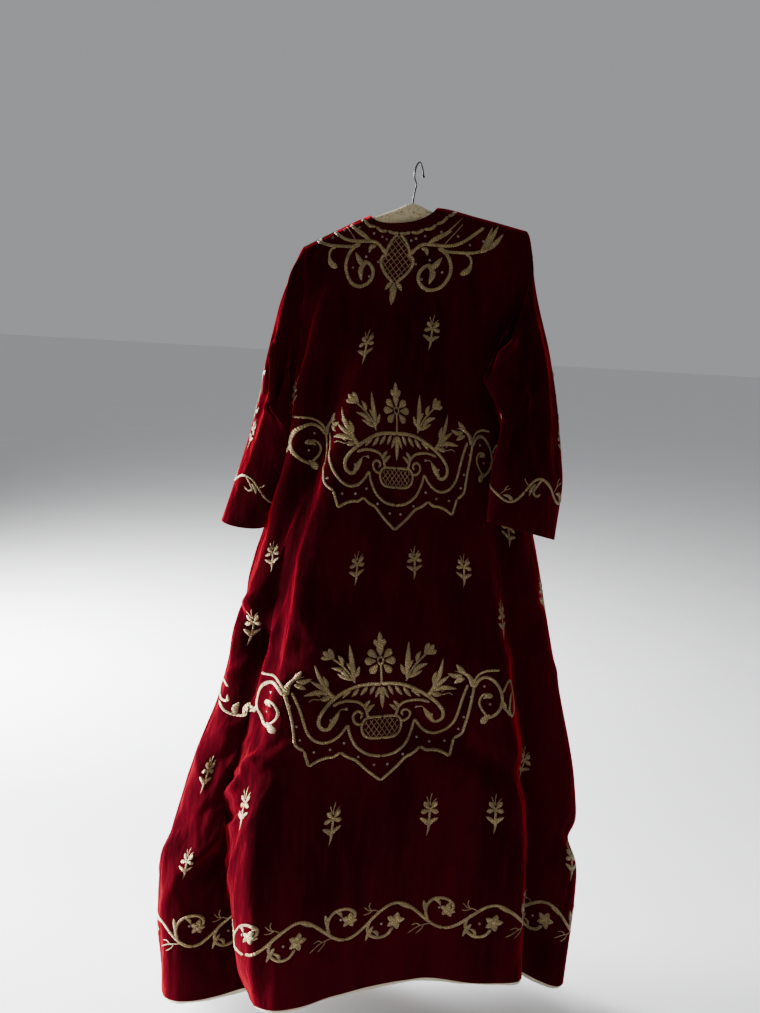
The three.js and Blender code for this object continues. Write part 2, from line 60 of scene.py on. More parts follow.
# Sizes that the cloth shares with the solids it is drawn over.
LENGTH = 1400.0  # shoulder line to hem, down the cloth
ARMHOLE = 290.0  # shoulder line to underarm, down the cloth
SEAM = 0.3  # gap between two sewn pieces
VELVET_WALL = 2.0
LINING_WALL = 1.2
LINING_DEPTH = 60.0
LINING_SHOWS = 6.0
LINING_GAP = 0.7

# How the cloth turns in at a seam.
SEAM_ROLL = 0.9
ROLL_WIDTH = 3.5
ROLL_LEVELS = (2, 30)  # it sets in between these levels


@dataclass(frozen=True)
class Neck:
    """The scooped neckline: its middle, half width and depths, and how square it is."""

    centre: float = -23.0
    half: float = 57.0
    front: float = 27.0
    back: float = 30.0
    power: float = 0.6


@dataclass(frozen=True)
class ShoulderRow:
    """A point of the shoulder line, seen from the front."""

    x: float
    z: float


@dataclass(frozen=True)
class BodyRow:
    """The robe's plain section at a level: middle, half width, depths and squareness."""

    level: float
    centre: float
    half: float
    front: float
    back: float
    square: float


@dataclass(frozen=True)
class HemRow:
    """Height of the hem at an angle round the robe."""

    deg: float
    z: float


@dataclass(frozen=True)
class EdgeRow:
    """Angle of the front panel's side edge at a level."""

    level: float
    deg: float


@dataclass(frozen=True)
class Fold:
    """A large fold between two levels: its crest's angles and bow, its reach and its widths."""

    start: float
    end: float
    deg: float
    hem_deg: float
    bow: float
    out: float
    hem_out: float
    low: float
    high: float


@dataclass(frozen=True)
class SleeveRow:
    """A sleeve's section: its outer and inner ends, half thickness and facing."""

    at: float
    out_x: float
    out_y: float
    out_z: float
    in_x: float
    in_y: float
    in_z: float
    thick: float
    face: float


@dataclass(frozen=True)
class HangerRow:
    """The padded hanger's section at x: its top, half height and half thickness."""

    x: float
    top: float
    high: float
    thick: float


def rows(kind: type, *values: tuple[Any, ...]) -> tuple[Any, ...]:
    """A short table: one row of a kind for each set of values."""
    return tuple(kind(*value) for value in values)


SHOULDER = rows(
    ShoulderRow,
    (-198, -157), (-140, -125), (-79, -95), (-23, -80), (34, -76), (110, -89), (198, -108),
)
BODY = rows(
    BodyRow,
    (0, 0, 197, 0.15, 0.15, 5), (7, 0, 197, 16, 16, 5),
    (28, 0, 197, 25, 24, 5), (60, 0, 197, 31, 27, 4.6),
    (100, -2, 196, 36, 31, 4), (190, -10, 192, 46, 38, 3),
    (290, -20, 188, 60, 48, 2.6),
    (380, -11, 204, 74, 60, 2.5),
    (500, -3, 241, 92, 74, 2.4),
    (600, 0, 265, 108, 86, 2.4),
    (700, 1, 286, 122, 98, 2.4),
    (850, 2, 319, 142, 114, 2.5),
    (1000, -5, 358, 158, 128, 2.5),
    (1200, -19, 384, 168, 142, 2.6),
    (1400, -24, 374, 176, 152, 2.6),
)
HEM = rows(
    HemRow,
    (-180, -1500), (-120, -1540), (-75, -1554), (-48, -1548), (-38, -1536), (-30, -1514), (-18, -1506),
    (-8, -1490), (4, -1470), (14, -1461), (26, -1455), (46, -1450), (60, -1478), (76, -1510), (96, -1518),
    (130, -1490), (180, -1500),
)
SIDE_EDGE = rows(
    EdgeRow,
    (0, 82), (60, 79), (145, 77), (230, 78), (270, 81), (290, 88), (500, 82), (900, 75), (1400, 68),
)
# Start, end, deg, hem_deg, bow, out, hem_out, low, high.
FOLDS = rows(
    Fold,
    (120, 1400, -12, -24, -17, 5, 38, 8, 17),  # front left crest
    (420, 1400, -52, -38, -10, -6, -58, 13, 5),  # front left recess
    (560, 1400, -78, -64, 0, 3, 32, 13, 13),  # left side lobe
    (700, 1400, -96, -88, 0, -2, -22, 8, 8),  # left far recess
    (60, 780, -45, -70, -5, 10, 10, 7, 9),  # left arm ridge
    (60, 640, -30, -50, 0, -8, -5, 8, 8),  # left chest trough
    (380, 1400, 33, 48, -3, 5, 34, 13, 6),  # right crest
    (380, 1400, 45, 57.5, -3, -6, -38, 5, 9),  # right recess
    (560, 1400, 70, 78, 0, 3, 28, 10, 10),  # right side lobe
    (850, 1400, 14, 17, 0, -3, -14, 10, 9),  # centre trough
    (950, 1400, 29, 33, 0, 3, 9, 7, 7),  # right small crest
    (500, 1400, -112, -110, 0, 3, 24, 10, 10),  # back left lobe
    (420, 1400, -136, -130, 0, -5, -40, 9, 8),  # back left recess
    (260, 1400, -158, -150, 5, 5, 32, 11, 10),  # back left crest
    (380, 1400, -176, 178, 0, -4, -24, 11, 10),  # back centre trough
    (300, 1400, 157, 150, -4, 5, 30, 10, 12),  # back right crest
    (460, 1400, 138, 129, 0, -5, -40, 9, 9),  # back right recess
    (520, 1400, 110, 106, 0, 3, 24, 10, 10),  # back right lobe
)
SLEEVE_RIGHT = rows(
    SleeveRow,
    (0, 196, 0, -108, 180, -2, -398, 14, 10),
    (0.08, 203, -3, -130, 177, -32, -396, 13, 20),
    (0.16, 208, -7, -158, 160, -66, -384, 13, 28),
    (0.28, 218, -12, -208, 135, -84, -374, 14, 34),
    (0.4, 233, -18, -266, 156, -87, -408, 17, 34),
    (0.5, 246, -24, -320, 172, -89, -440, 20, 32),
    (0.62, 261, -32, -392, 168, -94, -476, 22, 30),
    (0.75, 274, -41, -470, 159, -101, -518, 24, 28),
    (0.88, 286, -52, -560, 156, -112, -564, 24, 27),
    (1, 280, -62, -649, 154, -126, -612, 21, 27),
)
SLEEVE_LEFT = rows(
    SleeveRow,
    (0, -194, 0, -154, -214, 0, -444, 18, -20),
    (0.08, -200, 1, -172, -223, -24, -441, 18, -48),
    (0.16, -206, 2, -195, -230, -45, -440, 17, -64),
    (0.28, -218, 4, -231, -237, -60, -444, 15, -76),
    (0.4, -231, 7, -282, -226, -56, -460, 15, -74),
    (0.5, -243, 9, -334, -213, -50, -478, 17, -64),
    (0.62, -258, 12, -404, -207, -46, -505, 20, -50),
    (0.75, -275, 14, -480, -209, -44, -546, 24, -40),
    (0.88, -297, 16, -572, -230, -40, -607, 31, -33),
    (1, -318, 18, -657, -255, -34, -665, 38, -28),
)
HANGER = rows(
    HangerRow,
    (-186, -155, 11, 10), (-150, -134, 18, 14),
    (-79, -99, 22, 16), (-40, -83, 23, 16),
    (-8, -70, 23, 16), (30, -83, 22, 14),
    (110, -93, 21, 16), (170, -105, 16, 12),
    (187, -110, 10, 9),
)
HOOK_LINE = (
    (-8, 0, -88),
    (-8, 0, -78),
    (-8, 0, -67),
    (-6, -2, -50),
    (-4, -4, -38),
    (-8, -16, -27),
    (-7, -17, -12),
    (0, 0, 1.5),
    (6, 14, -8),
    (8, 19, -18),
)


def smoothstep(value: Array | float, low: float, high: float) -> Array:
    """Zero below low, one above high, and the cubic 3t^2 - 2t^3 between them."""
    t = np.clip((np.asarray(value, float) - low) / (high - low), 0.0, 1.0)
    return t * t * (3.0 - 2.0 * t)


def unit(vectors: Array) -> Array:
    """Vectors scaled to length one along the last axis."""
    return vectors / np.maximum(np.linalg.norm(vectors, axis=-1, keepdims=True), 1e-9)


def wrap_deg(deg: Array) -> Array:
    """Angles brought into the half turn either side of the front."""
    return np.mod(np.asarray(deg, float) + 180.0, 360.0) - 180.0


def bell(off: Array, width: Array | float) -> Array:
    """One at zero, falling to 1/e at the width: the exponential of minus the squared ratio."""
    return np.exp(-((off / width) ** 2))


def lengths(vectors: Array) -> Array:
    """Lengths of vectors along the last axis."""
    return np.linalg.norm(vectors, axis=-1)


def running(points: Array) -> Array:
    """Distance run from the first point to each, along the last but one axis."""
    steps = lengths(np.diff(points, axis=-2))
    return np.concatenate([np.zeros_like(steps[..., :1]), np.cumsum(steps, axis=-1)], axis=-1)


def paired(u: Array | float, v: Array | float) -> tuple[Array, Array]:
    """Two parameters as float arrays of one shape."""
    return tuple(np.broadcast_arrays(np.asarray(u, float), np.asarray(v, float)))


def hang(name: str, data: Any) -> Piece:
    """A new object at the origin, linked to the scene.

    Args:
        name: The object's name.
        data: Its mesh or lamp.

    Returns:
        The object.
    """
    made = bpy.data.objects.new(name, data)
    bpy.context.scene.collection.objects.link(made)
    return made


class Curves:
    """Smooth curves through the columns of a short table that never overshoot its rows."""

    def __init__(self, rows: Sequence[Any], key: str) -> None:
        """Takes the columns apart and works out a slope at each row.

        Args:
            rows: Dataclass rows in rising order of the key.
            key: Name of the column that the others are functions of.
        """
        self.keys = np.array([getattr(row, key) for row in rows], float)
        names = [item.name for item in fields(rows[0]) if item.name != key]
        self.values = {name: np.array([getattr(row, name) for row in rows], float) for name in names}
        self.slopes = {name: self._slopes(values) for name, values in self.values.items()}

    def _slopes(self, values: Array) -> Array:
        """Weighted harmonic mean of the two neighbouring slopes, and zero at a turning point.

        Args:
            values: One column.

        Returns:
            The slope at each row.
        """
        steps = np.diff(self.keys)
        rise = np.diff(values) / steps
        slopes = np.concatenate([rise[:1], np.zeros(len(values) - 2), rise[-1:]])
        before, after = steps[:-1], steps[1:]
        same = rise[:-1] * rise[1:] > 0
        low = np.where(same, rise[:-1], 1.0)
        high = np.where(same, rise[1:], 1.0)
        weight = (2 * after + before) / low + (after + 2 * before) / high
        slopes[1:-1] = np.where(same, 3 * (before + after) / weight, 0.0)
        return slopes

    def at(self, name: str, where: Array | float) -> Array:
        """One column at any values of the key, by the cubic Hermite formula.

        Args:
            name: The column.
            where: Values of the key.

        Returns:
            The column there.
        """
        where = np.asarray(where, float)
        values, slopes = self.values[name], self.slopes[name]
        i = np.clip(np.searchsorted(self.keys, where, side="left") - 1, 0, len(values) - 2)
        step = self.keys[i + 1] - self.keys[i]
        t = np.clip((where - self.keys[i]) / step, 0.0, 1.0)
        u = 1.0 - t
        ends = values[i] * (1 + 2 * t) * u * u + values[i + 1] * (3 - 2 * t) * t * t
        return ends + step * t * u * (slopes[i] * u - slopes[i + 1] * t)


@dataclass(frozen=True)
class Crease:
    """A straight or bowed trough or ridge laid from one place of a surface to another.

    The ends are given as (u, v) of the surface. Its profile is a bell curve across and a rise
    and fall along; low and high are its half widths towards falling and rising u.
    """

    u: float
    v: float
    end_u: float
    end_v: float
    out: float
    low: float
    high: float
    bow: float = 0.0
    fade: float = 0.35

    def height(self, surface: "Surface", s: Array, v: Array, whole: Array) -> Array:
        """How far the crease stands out.

        Args:
            surface: The surface it is laid on.
            s: Arc lengths round the surface.
            v: Places down it.
            whole: The surface's whole length round at v.

        Returns:
            Millimetres along the surface's normal.
        """
        start = float(surface.arc(self.u, self.v))
        along = np.array([float(surface.arc(self.end_u, self.end_v)) - start, self.end_v - self.v])
        reach = float(np.hypot(*along))
        ahead = along / reach
        ds = np.mod(s - start + whole / 2, whole) - whole / 2
        dv = v - self.v
        t = (ds * ahead[0] + dv * ahead[1]) / reach
        side = ds * ahead[1] - dv * ahead[0] - self.bow * np.sin(np.pi * np.clip(t, 0, 1))
        width = np.where(side < 0, self.low, self.high)
        rise = smoothstep(t, 0.0, self.fade) * (1.0 - smoothstep(t, 1.0 - self.fade, 1.0))
        return self.out * rise * bell(side, width)


@dataclass(frozen=True)
class Ridge:
    """A ridge or trough that wanders down the cloth through its places.

    Each place is (u, v, out). Power 2 makes a soft bell across, and less makes a crisp crest.
    """

    places: tuple[tuple[float, float, float], ...]
    low: float
    high: float
    power: float = 2.0
    fade: float = 60.0

    def height(self, surface: "Surface", s: Array, v: Array, whole: Array) -> Array:
        """How far the ridge stands out.

        Args:
            surface: The surface it is laid on.
            s: Arc lengths round it.
            v: Places down it.
            whole: Its whole length round at v.

        Returns:
            Millimetres along the surface's normal.
        """
        u_keys, v_keys, out_keys = np.array(self.places).T
        line = surface.arc(np.interp(v, v_keys, u_keys), v)
        side = np.mod(s - line + whole / 2, whole) - whole / 2
        width = np.where(side < 0, self.low, self.high)
        rise = smoothstep(v, v_keys[0] - self.fade / 2, v_keys[0] + self.fade / 2)
        fall = 1.0 - smoothstep(v, v_keys[-1] - self.fade / 2, v_keys[-1] + self.fade / 2)
        across = np.exp(-(((side / width) ** 2 + 0.02) ** (self.power / 2)))
        return np.interp(v, v_keys, out_keys) * rise * fall * across


Creases = tuple[Crease | Ridge, ...]


class Surface:
    """A cloth surface with arc lengths measured along u at every v."""

    U_STEPS = 720
    V_STEP = 5.0
    U_SPAN = (-180.0, 180.0)
    V_SPAN = (0.0, LENGTH)
    U_REACH = 0.4  # how far either side the differences are taken
    V_REACH = 1.0
    facing = 1  # which way the cross product of the tangents has to be turned

    def __init__(self, creases: Creases) -> None:
        """Measures the plain surface and keeps the creases that lie on it.

        Args:
            creases: Creases and ridges.
        """
        self.creases = creases
        count = int(round((self.V_SPAN[1] - self.V_SPAN[0]) / self.V_STEP)) + 1
        self.v_keys = np.linspace(*self.V_SPAN, count)
        self.u_keys = np.linspace(*self.U_SPAN, self.U_STEPS + 1)
        grid_u, grid_v = np.meshgrid(self.u_keys, self.v_keys)
        points = self.plain(grid_u, grid_v)
        arc = running(points)
        middle = arc[:, self.U_STEPS // 2]
        self.round_length = arc[:, -1]
        self.arcs = arc - middle[:, None]
        self.arc_keys = np.linspace(self.arcs.min(), self.arcs.max(), self.U_STEPS + 1)
        self.inverse = np.stack([np.interp(self.arc_keys, row, self.u_keys) for row in self.arcs])
        out = self.crease_out(grid_u, grid_v)
        self.rise_v, self.rise_u = np.gradient(out, self.v_keys, self.u_keys)

    def plain(self, u: Array, v: Array) -> Array:
        """Points of the surface with its large folds alone."""
        raise NotImplementedError

    def _look_up(self, table: Array, keys: Array, where: Array, v: Array) -> Array:
        """Bilinear look-up in a table whose rows run along v and columns along keys.

        Args:
            table: (v keys, keys) values.
            keys: Evenly spaced values along its columns.
            where: Values between the keys.
            v: Places down it.

        Returns:
            The table's values there.
        """
        row = np.clip((v - self.v_keys[0]) / (self.v_keys[1] - self.v_keys[0]), 0, len(self.v_keys) - 1.001)
        column = np.clip((where - keys[0]) / (keys[1] - keys[0]), 0, len(keys) - 1.001)
        i, j = row.astype(int), column.astype(int)
        a, b = row - i, column - j
        top = table[i, j] * (1 - b) + table[i, j + 1] * b
        return top * (1 - a) + (table[i + 1, j] * (1 - b) + table[i + 1, j + 1] * b) * a

    def arc(self, u: Array, v: Array) -> Array:
        """Signed arc length round the surface from u = 0."""
        u, v = paired(u, v)
        return self._look_up(self.arcs, self.u_keys, self.wrap(u), v)

    def around(self, arc: Array, v: Array) -> Array:
        """The u that lies at an arc length from u = 0; past the seam it carries on round."""
        whole, low = (np.interp(v, self.v_keys, row) for row in (self.round_length, self.arcs[:, 0]))
        return self._look_up(self.inverse, self.arc_keys, np.mod(arc - low, whole) + low, v)

    def wrap(self, u: Array) -> Array:
        """Any u brought into the surface's own span."""
        low, high = self.U_SPAN
        return np.mod(u - low, high - low) + low

    def crease_out(self, u: Array, v: Array) -> Array:
        """Sum of the creases, in millimetres along the normal."""
        s, whole, flat = self.arc(u, v), np.interp(v, self.v_keys, self.round_length), np.broadcast(u, v)
        return sum((crease.height(self, s, v, whole) for crease in self.creases), np.zeros(flat.shape))

    def point(self, u: Array, v: Array) -> Array:
        """Points of the creased surface, mid-wall."""
        u, v = paired(u, v)
        return self.plain(u, v) + self.normal(u, v, False) * self.crease_out(u, v)[..., None]

    def tangents(self, u: Array, v: Array) -> tuple[Array, Array]:
        """Central differences of the plain surface, for each unit of u and of v.

        Args:
            u: Places round it.
            v: Places down it.

        Returns:
            The tangents along u and along v.
        """
        about = self.plain(u + self.U_REACH, v) - self.plain(u - self.U_REACH, v)
        after = np.minimum(v + self.V_REACH, self.V_SPAN[1])
        before = np.maximum(v - self.V_REACH, self.V_SPAN[0])
        along = (self.plain(u, after) - self.plain(u, before)) / (after - before)[..., None]
        return about / (2 * self.U_REACH), along

    def normal(self, u: Array, v: Array, creased: bool = True) -> Array:
        """Outward directions: the cross product of the tangents, each raised by the creases.

        A crease adds its slope along a tangent, times the plain surface's normal, to that tangent.

        Args:
            u: Places round it.
            v: Places down it.
            creased: Whether the creases tilt them.

        Returns:
            Unit vectors.
        """
        u, v = paired(u, v)
        about, along = self.tangents(u, v)
        made = unit(np.cross(along, about)) * self.facing
        if creased and self.creases:
            rise_u = self._look_up(self.rise_u, self.u_keys, self.wrap(u), v)[..., None]
            rise_v = self._look_up(self.rise_v, self.u_keys, self.wrap(u), v)[..., None]
            made = unit(np.cross(along + made * rise_v, about + made * rise_u)) * self.facing
        return made


class RobeForm(Surface):
    """The robe's body: u is the angle round it from the front, and v the level down the cloth."""

    FOLD_RISE = 0.15
    FOLD_FADE = 0.75

    def __init__(self, creases: Creases) -> None:
        """Sets the tables up before the surface is measured.

        Args:
            creases: Creases in degrees and levels.
        """
        self.body = Curves(BODY, "level")
        self.shoulder = Curves(SHOULDER, "x")
        self.hem = Curves(HEM, "deg")
        self.edge = Curves(SIDE_EDGE, "level")
        self.neck = Neck()
        super().__init__(creases)

    def fold_out(self, deg: Array, level: Array) -> Array:
        """How far the large folds stand out: bell curves about crests that run down the cloth.

        Args:
            deg: Angles from the front.
            level: Levels down the cloth.

        Returns:
            Millimetres, square to the plain section.
        """
        out = np.zeros(np.broadcast(deg, level).shape)
        for fold in FOLDS:
            t = (level - fold.start) / (fold.end - fold.start)
            live = (t > 0) & (t <= 1)
            fades = 1 - smoothstep(t, self.FOLD_FADE, 1) if fold.end < LENGTH else 1.0
            crest = fold.deg + (fold.hem_deg - fold.deg) * t + fold.bow * np.sin(np.pi * t)
            off = wrap_deg(deg - crest)
            width = np.where(off < 0, fold.low, fold.high)
            height = (fold.out + (fold.hem_out - fold.out) * t) * smoothstep(t, 0, self.FOLD_RISE) * fades
            out += np.where(live, height * bell(off, width), 0.0)
        return out

    def across(self, deg: Array) -> Array:
        """The x of the shoulder line at an angle."""
        return BODY[0].centre + BODY[0].half * np.sin(np.radians(deg))

    def heights(self, deg: Array) -> tuple[Array, Array]:
        """Heights of the shoulder line and of the hem at an angle."""
        return self.shoulder.at("z", self.across(deg)), self.hem.at("z", wrap_deg(deg))

    def plain(self, u: Array, v: Array) -> Array:
        """A squared oval section at each level, moved out square to itself by the folds.

        Args:
            u: Places round it.
            v: Places down it.

        Returns:
            (..., 3) places.
        """
        turn = np.radians(u)
        across, ahead = np.sin(turn), np.cos(turn)
        centre, half, square = (self.body.at(name, v) for name in ("centre", "half", "square"))
        depth = np.where(ahead > 0, self.body.at("front", v), self.body.at("back", v))
        forward = np.sign(ahead) * np.maximum(1 - np.abs(across) ** square, 0) ** (1 / square)
        edge = np.maximum(np.hypot(across * depth, ahead * half), 1e-9)
        out = self.fold_out(u, v)
        top, bottom = self.heights(u)
        x = centre + half * across + out * across * depth / edge
        y = -depth * forward - out * ahead * half / edge
        return np.stack([x, y, top + (bottom - top) * v / LENGTH], axis=-1)

    def normal(self, u: Array, v: Array, creased: bool = True) -> Array:
        """Outward directions; along the shoulder seam they point straight up."""
        made = super().normal(u, v, creased)
        return np.where((np.asarray(v) < 1)[..., None], np.array([0.0, 0.0, 1.0]), made)

    def first_level(self, deg: Array) -> Array:
        """The level at which the cloth begins: zero at the shoulder, lower along the neckline.

        Args:
            deg: Degrees round the robe.

        Returns:
            Levels.
        """
        within = np.maximum(1 - ((self.across(deg) - self.neck.centre) / self.neck.half) ** 2, 0)
        depth = np.where(np.cos(np.radians(deg)) > 0, self.neck.front, self.neck.back)
        return depth * within**self.neck.power

    def level_at(self, deg: Array, z: Array) -> Array:
        """The level at which the cloth is at a height."""
        top, bottom = self.heights(deg)
        return LENGTH * (top - z) / (top - bottom)


class SleeveForm(Surface):
    """A sleeve: u is the turn round it in degrees and v the way down it in millimetres.

    Turn 0 is the shoulder side, and from there it passes the front, the underarm at the half
    turn and the back. It starts as the armhole's edge and becomes the table's flattened tubes.
    """

    U_SPAN = (0.0, 360.0)
    SPAN = 540.0  # armhole to cuff down the middle
    V_SPAN = (0.0, SPAN)
    U_REACH = 1.5
    V_REACH = 2.0
    BLEND = 0.2
    LEAD = 10.0
    SIDEWAYS = 1.2
    UNDERARM_RISE = 0.6
    ARM_TOP = 28.6
    TOP_LEAD = 0.4
    FOLD_ZONE = 7.0  # degrees either side of the underarm over which the edge turns under

    def __init__(self, robe: RobeForm, rows: Sequence[SleeveRow], side: int, creases: Creases) -> None:
        """Keeps the robe that the sleeve is sewn to, its table and its side.

        Args:
            robe: The body's form.
            rows: The sections from the armhole to the cuff.
            side: 1 towards +X and -1 towards -X.
            creases: Creases in turn and millimetres.
        """
        self.robe = robe
        self.table = Curves(rows, "at")
        self.side = side
        self.facing = -side
        super().__init__(creases)

    def armhole(self, turn: Array) -> tuple[Array, Array]:
        """Points of the armhole's edge and the directions in which the sleeve leaves it.

        Args:
            turn: Turns round the sleeve.

        Returns:
            Places and unit vectors.
        """
        phase = np.radians(turn)
        level = (ARMHOLE - 2 * SEAM) * (1 - np.cos(phase)) / 2
        front = np.sin(phase) >= 0
        under = 1 - smoothstep(np.abs(self.wrap(turn) - 180), 0, self.FOLD_ZONE)
        edge = self.robe.edge.at("deg", level)
        own = edge + (90 - edge) * under
        deg = self.side * np.where(front, own, 180 - own)
        ahead = self.side * np.where(front, 0.5, -0.5)
        here = self.robe.plain(deg, level)
        near = lengths(self.robe.plain(deg + ahead, level) - here)
        shifted = deg + ahead * SEAM * (1 - under) / np.maximum(near, 1e-6)
        away = self.robe.plain(shifted + ahead, level) - self.robe.plain(shifted, level)
        point = self.robe.point(shifted, level)
        away[..., 0] += self.side * self.SIDEWAYS * lengths(away)
        below = np.array([self.side, 0.0, self.UNDERARM_RISE])
        away = unit(away) * (1 - under)[..., None] + below * under[..., None]
        return point, unit(away)

    def section(self, at: Array, turn: Array) -> Array:
        """A flattened ellipse between the table's outer and inner ends.

        Args:
            at: Shares of the way from armhole to cuff.
            turn: Turns round the sleeve.

        Returns:
            (..., 3) places.
        """
        phase = np.radians(turn)
        row = {name: self.table.at(name, at) for name in self.table.values}
        outer = np.stack([row["out_x"], row["out_y"], row["out_z"]], axis=-1)
        inner = np.stack([row["in_x"], row["in_y"], row["in_z"]], axis=-1)
        reach = (outer - inner) / 2
        face = np.radians(row["face"])
        facing = np.stack([np.sin(face), -np.cos(face), np.zeros_like(face)], axis=-1)
        slip = (facing * reach).sum(-1, keepdims=True) / (reach**2).sum(-1, keepdims=True)
        facing = unit(facing - slip * reach)
        across = (row["thick"] * np.sin(phase))[..., None]
        return (outer + inner) / 2 + reach * np.cos(phase)[..., None] + facing * across

    def plain(self, u: Array, v: Array) -> Array:
        """The armhole's edge eased into the sections, with a short lead away from the robe.

        Args:
            u: Places round it.
            v: Places down it.

        Returns:
            (..., 3) places.
        """
        u, v = paired(u, v)
        at = v / self.SPAN
        edge, away = self.armhole(u)
        from_top = np.abs(wrap_deg(u))
        share = self.TOP_LEAD + (1 - self.TOP_LEAD) * smoothstep(from_top, self.ARM_TOP - 8, self.ARM_TOP + 8)
        lead = share * self.LEAD * np.sin(np.pi * np.clip(at / self.BLEND, 0, 1))
        leave = smoothstep(at, 0, self.BLEND)[..., None]
        return edge * (1 - leave) + self.section(at, u) * leave + away * lead[..., None]


def grid_faces(rows: int, columns: int, wrap_rows: bool, wrap_columns: bool) -> Array:
    """Quads of a grid whose vertices are numbered row by row, as an (n, 4) array.

    Args:
        rows: Vertices down.
        columns: Vertices across.
        wrap_rows: Whether the last row joins the first.
        wrap_columns: Whether the last column joins the first.

    Returns:
        (n, 4) vertex numbers.
    """
    i = np.arange(rows if wrap_rows else rows - 1)[:, None]
    j = np.arange(columns if wrap_columns else columns - 1)[None, :]
    below, beside = (i + 1) % rows, (j + 1) % columns
    corners = [i * columns + j, below * columns + j, below * columns + beside, i * columns + beside]
    return np.stack([corner.ravel() for corner in np.broadcast_arrays(*corners)], axis=-1)


def flipped(quads: Array) -> Array:
    """The quads with their corners in the other order; triangles keep their doubled last corner."""
    return quads[:, [1, 0, 3, 2]]


def outward(vertices: Array, quads: Array) -> Array:
    """The quads turned to face outwards: a closed shape's signed volume has to be positive.

    Args:
        vertices: (n, 3) places.
        quads: (m, 4) corners.

    Returns:
        The quads, all turned over or none.
    """
    a, b, c, d = (vertices[quads[:, k]] for k in range(4))
    volume = (a * np.cross(b, c)).sum() + (a * np.cross(c, d)).sum()
    return quads if volume > 0 else flipped(quads)


class Mesh:
    """Makes Blender objects from whole arrays."""

    @staticmethod
    def build(name: str, vertices: Array, quads: Array, uv: Array | None = None) -> Piece:
        """A smooth-shaded object at the origin.

        Args:
            name: The piece's name.
            vertices: (n, 3) places in millimetres.
            quads: (m, 4) corners; a corner given twice in a row makes a triangle.
            uv: (n, 2) texture places of the vertices, or None.

        Returns:
            The new object, linked to the scene.
        """
        mesh = bpy.data.meshes.new(name)
        whole = quads[:, 2] != quads[:, 3]
        loops = np.concatenate([quads[whole].ravel(), quads[~whole][:, :3].ravel()])
        sizes = np.concatenate([np.full(whole.sum(), 4), np.full((~whole).sum(), 3)])
        mesh.vertices.add(len(vertices))
        mesh.vertices.foreach_set("co", (np.asarray(vertices) * METRES).astype(np.float32).ravel())
        mesh.loops.add(len(loops))
        mesh.loops.foreach_set("vertex_index", loops.astype(np.int32))
        mesh.polygons.add(len(sizes))
        mesh.polygons.foreach_set("loop_start", (np.cumsum(sizes) - sizes).astype(np.int32))
        mesh.polygons.foreach_set("use_smooth", np.ones(len(sizes), bool))
        if uv is not None:
            layer = mesh.uv_layers.new(name="thread")
            layer.data.foreach_set("uv", uv[loops].astype(np.float32).ravel())
        mesh.update(calc_edges=True)
        mesh.validate()
        return hang(name, mesh)

    @staticmethod
    def dress(piece: Piece, material: Finish, slot: str, *nodes: str) -> None:
        """Gives a piece its material, has it ride, and hides the nodes it stands for.

        Args:
            piece: The object.
            material: Its finish.
            slot: Not used.
            nodes: Nodes it stands for.
        """
        piece.data.materials.append(material)
        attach(piece, "root")
        if nodes:
            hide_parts(*nodes)
        logging.info("%s: %d triangles", piece.name, sum(len(p.vertices) - 2 for p in piece.data.polygons))


RIM_DEGREES = (30.0, 60.0, 90.0, 120.0, 150.0)  # where the rounded edge's points stand


def cloth_shell(points: Array, normals: Array, wall: float, tube: bool) -> tuple[Array, Array]:
    """A closed wall about a grid of mid-wall points.

    Each column is one loop: down the outer face, round the lower edge, up the inner face and round
    the upper edge. A panel's first and last loops are closed by faces across the wall.

    Args:
        points: (rows, columns, 3) places, row 0 at the top.
        normals: (rows, columns, 3) outward directions.
        wall: The cloth's thickness.
        tube: Whether the last column joins the first.

    Returns:
        Vertices and quads.
    """
    rows, columns = points.shape[:2]
    angles = np.radians(np.array(RIM_DEGREES))[:, None, None]
    down, up = unit(points[-1] - points[-2]), unit(points[0] - points[1])
    half = wall / 2
    lower = points[-1] + half * (np.cos(angles) * normals[-1] + np.sin(angles) * down)
    upper = points[0] + half * (np.sin(angles) * up - np.cos(angles) * normals[0])
    outer, inner = points + half * normals, (points - half * normals)[::-1]
    loops = np.concatenate([outer, lower, inner, upper])
    count = len(loops)
    quads = [grid_faces(count, columns, True, tube)]
    if not tube:
        start = count - 1 - len(RIM_DEGREES) // 2
        order = (start + np.arange(count)) % count * columns
        i, h = np.arange(1, count // 2 - 1), count // 2
        strip = np.stack([order[i], order[i + 1], order[count - i - 1], order[count - i]], axis=-1)
        ends = [[order[1], order[-1], order[0], order[0]], [order[h + 1], order[h - 1], order[h], order[h]]]
        cap = np.concatenate([strip, ends])
        quads += [flipped(cap), cap + columns - 1]
    vertices = loops.reshape(-1, 3)
    return vertices, outward(vertices, np.concatenate(quads))


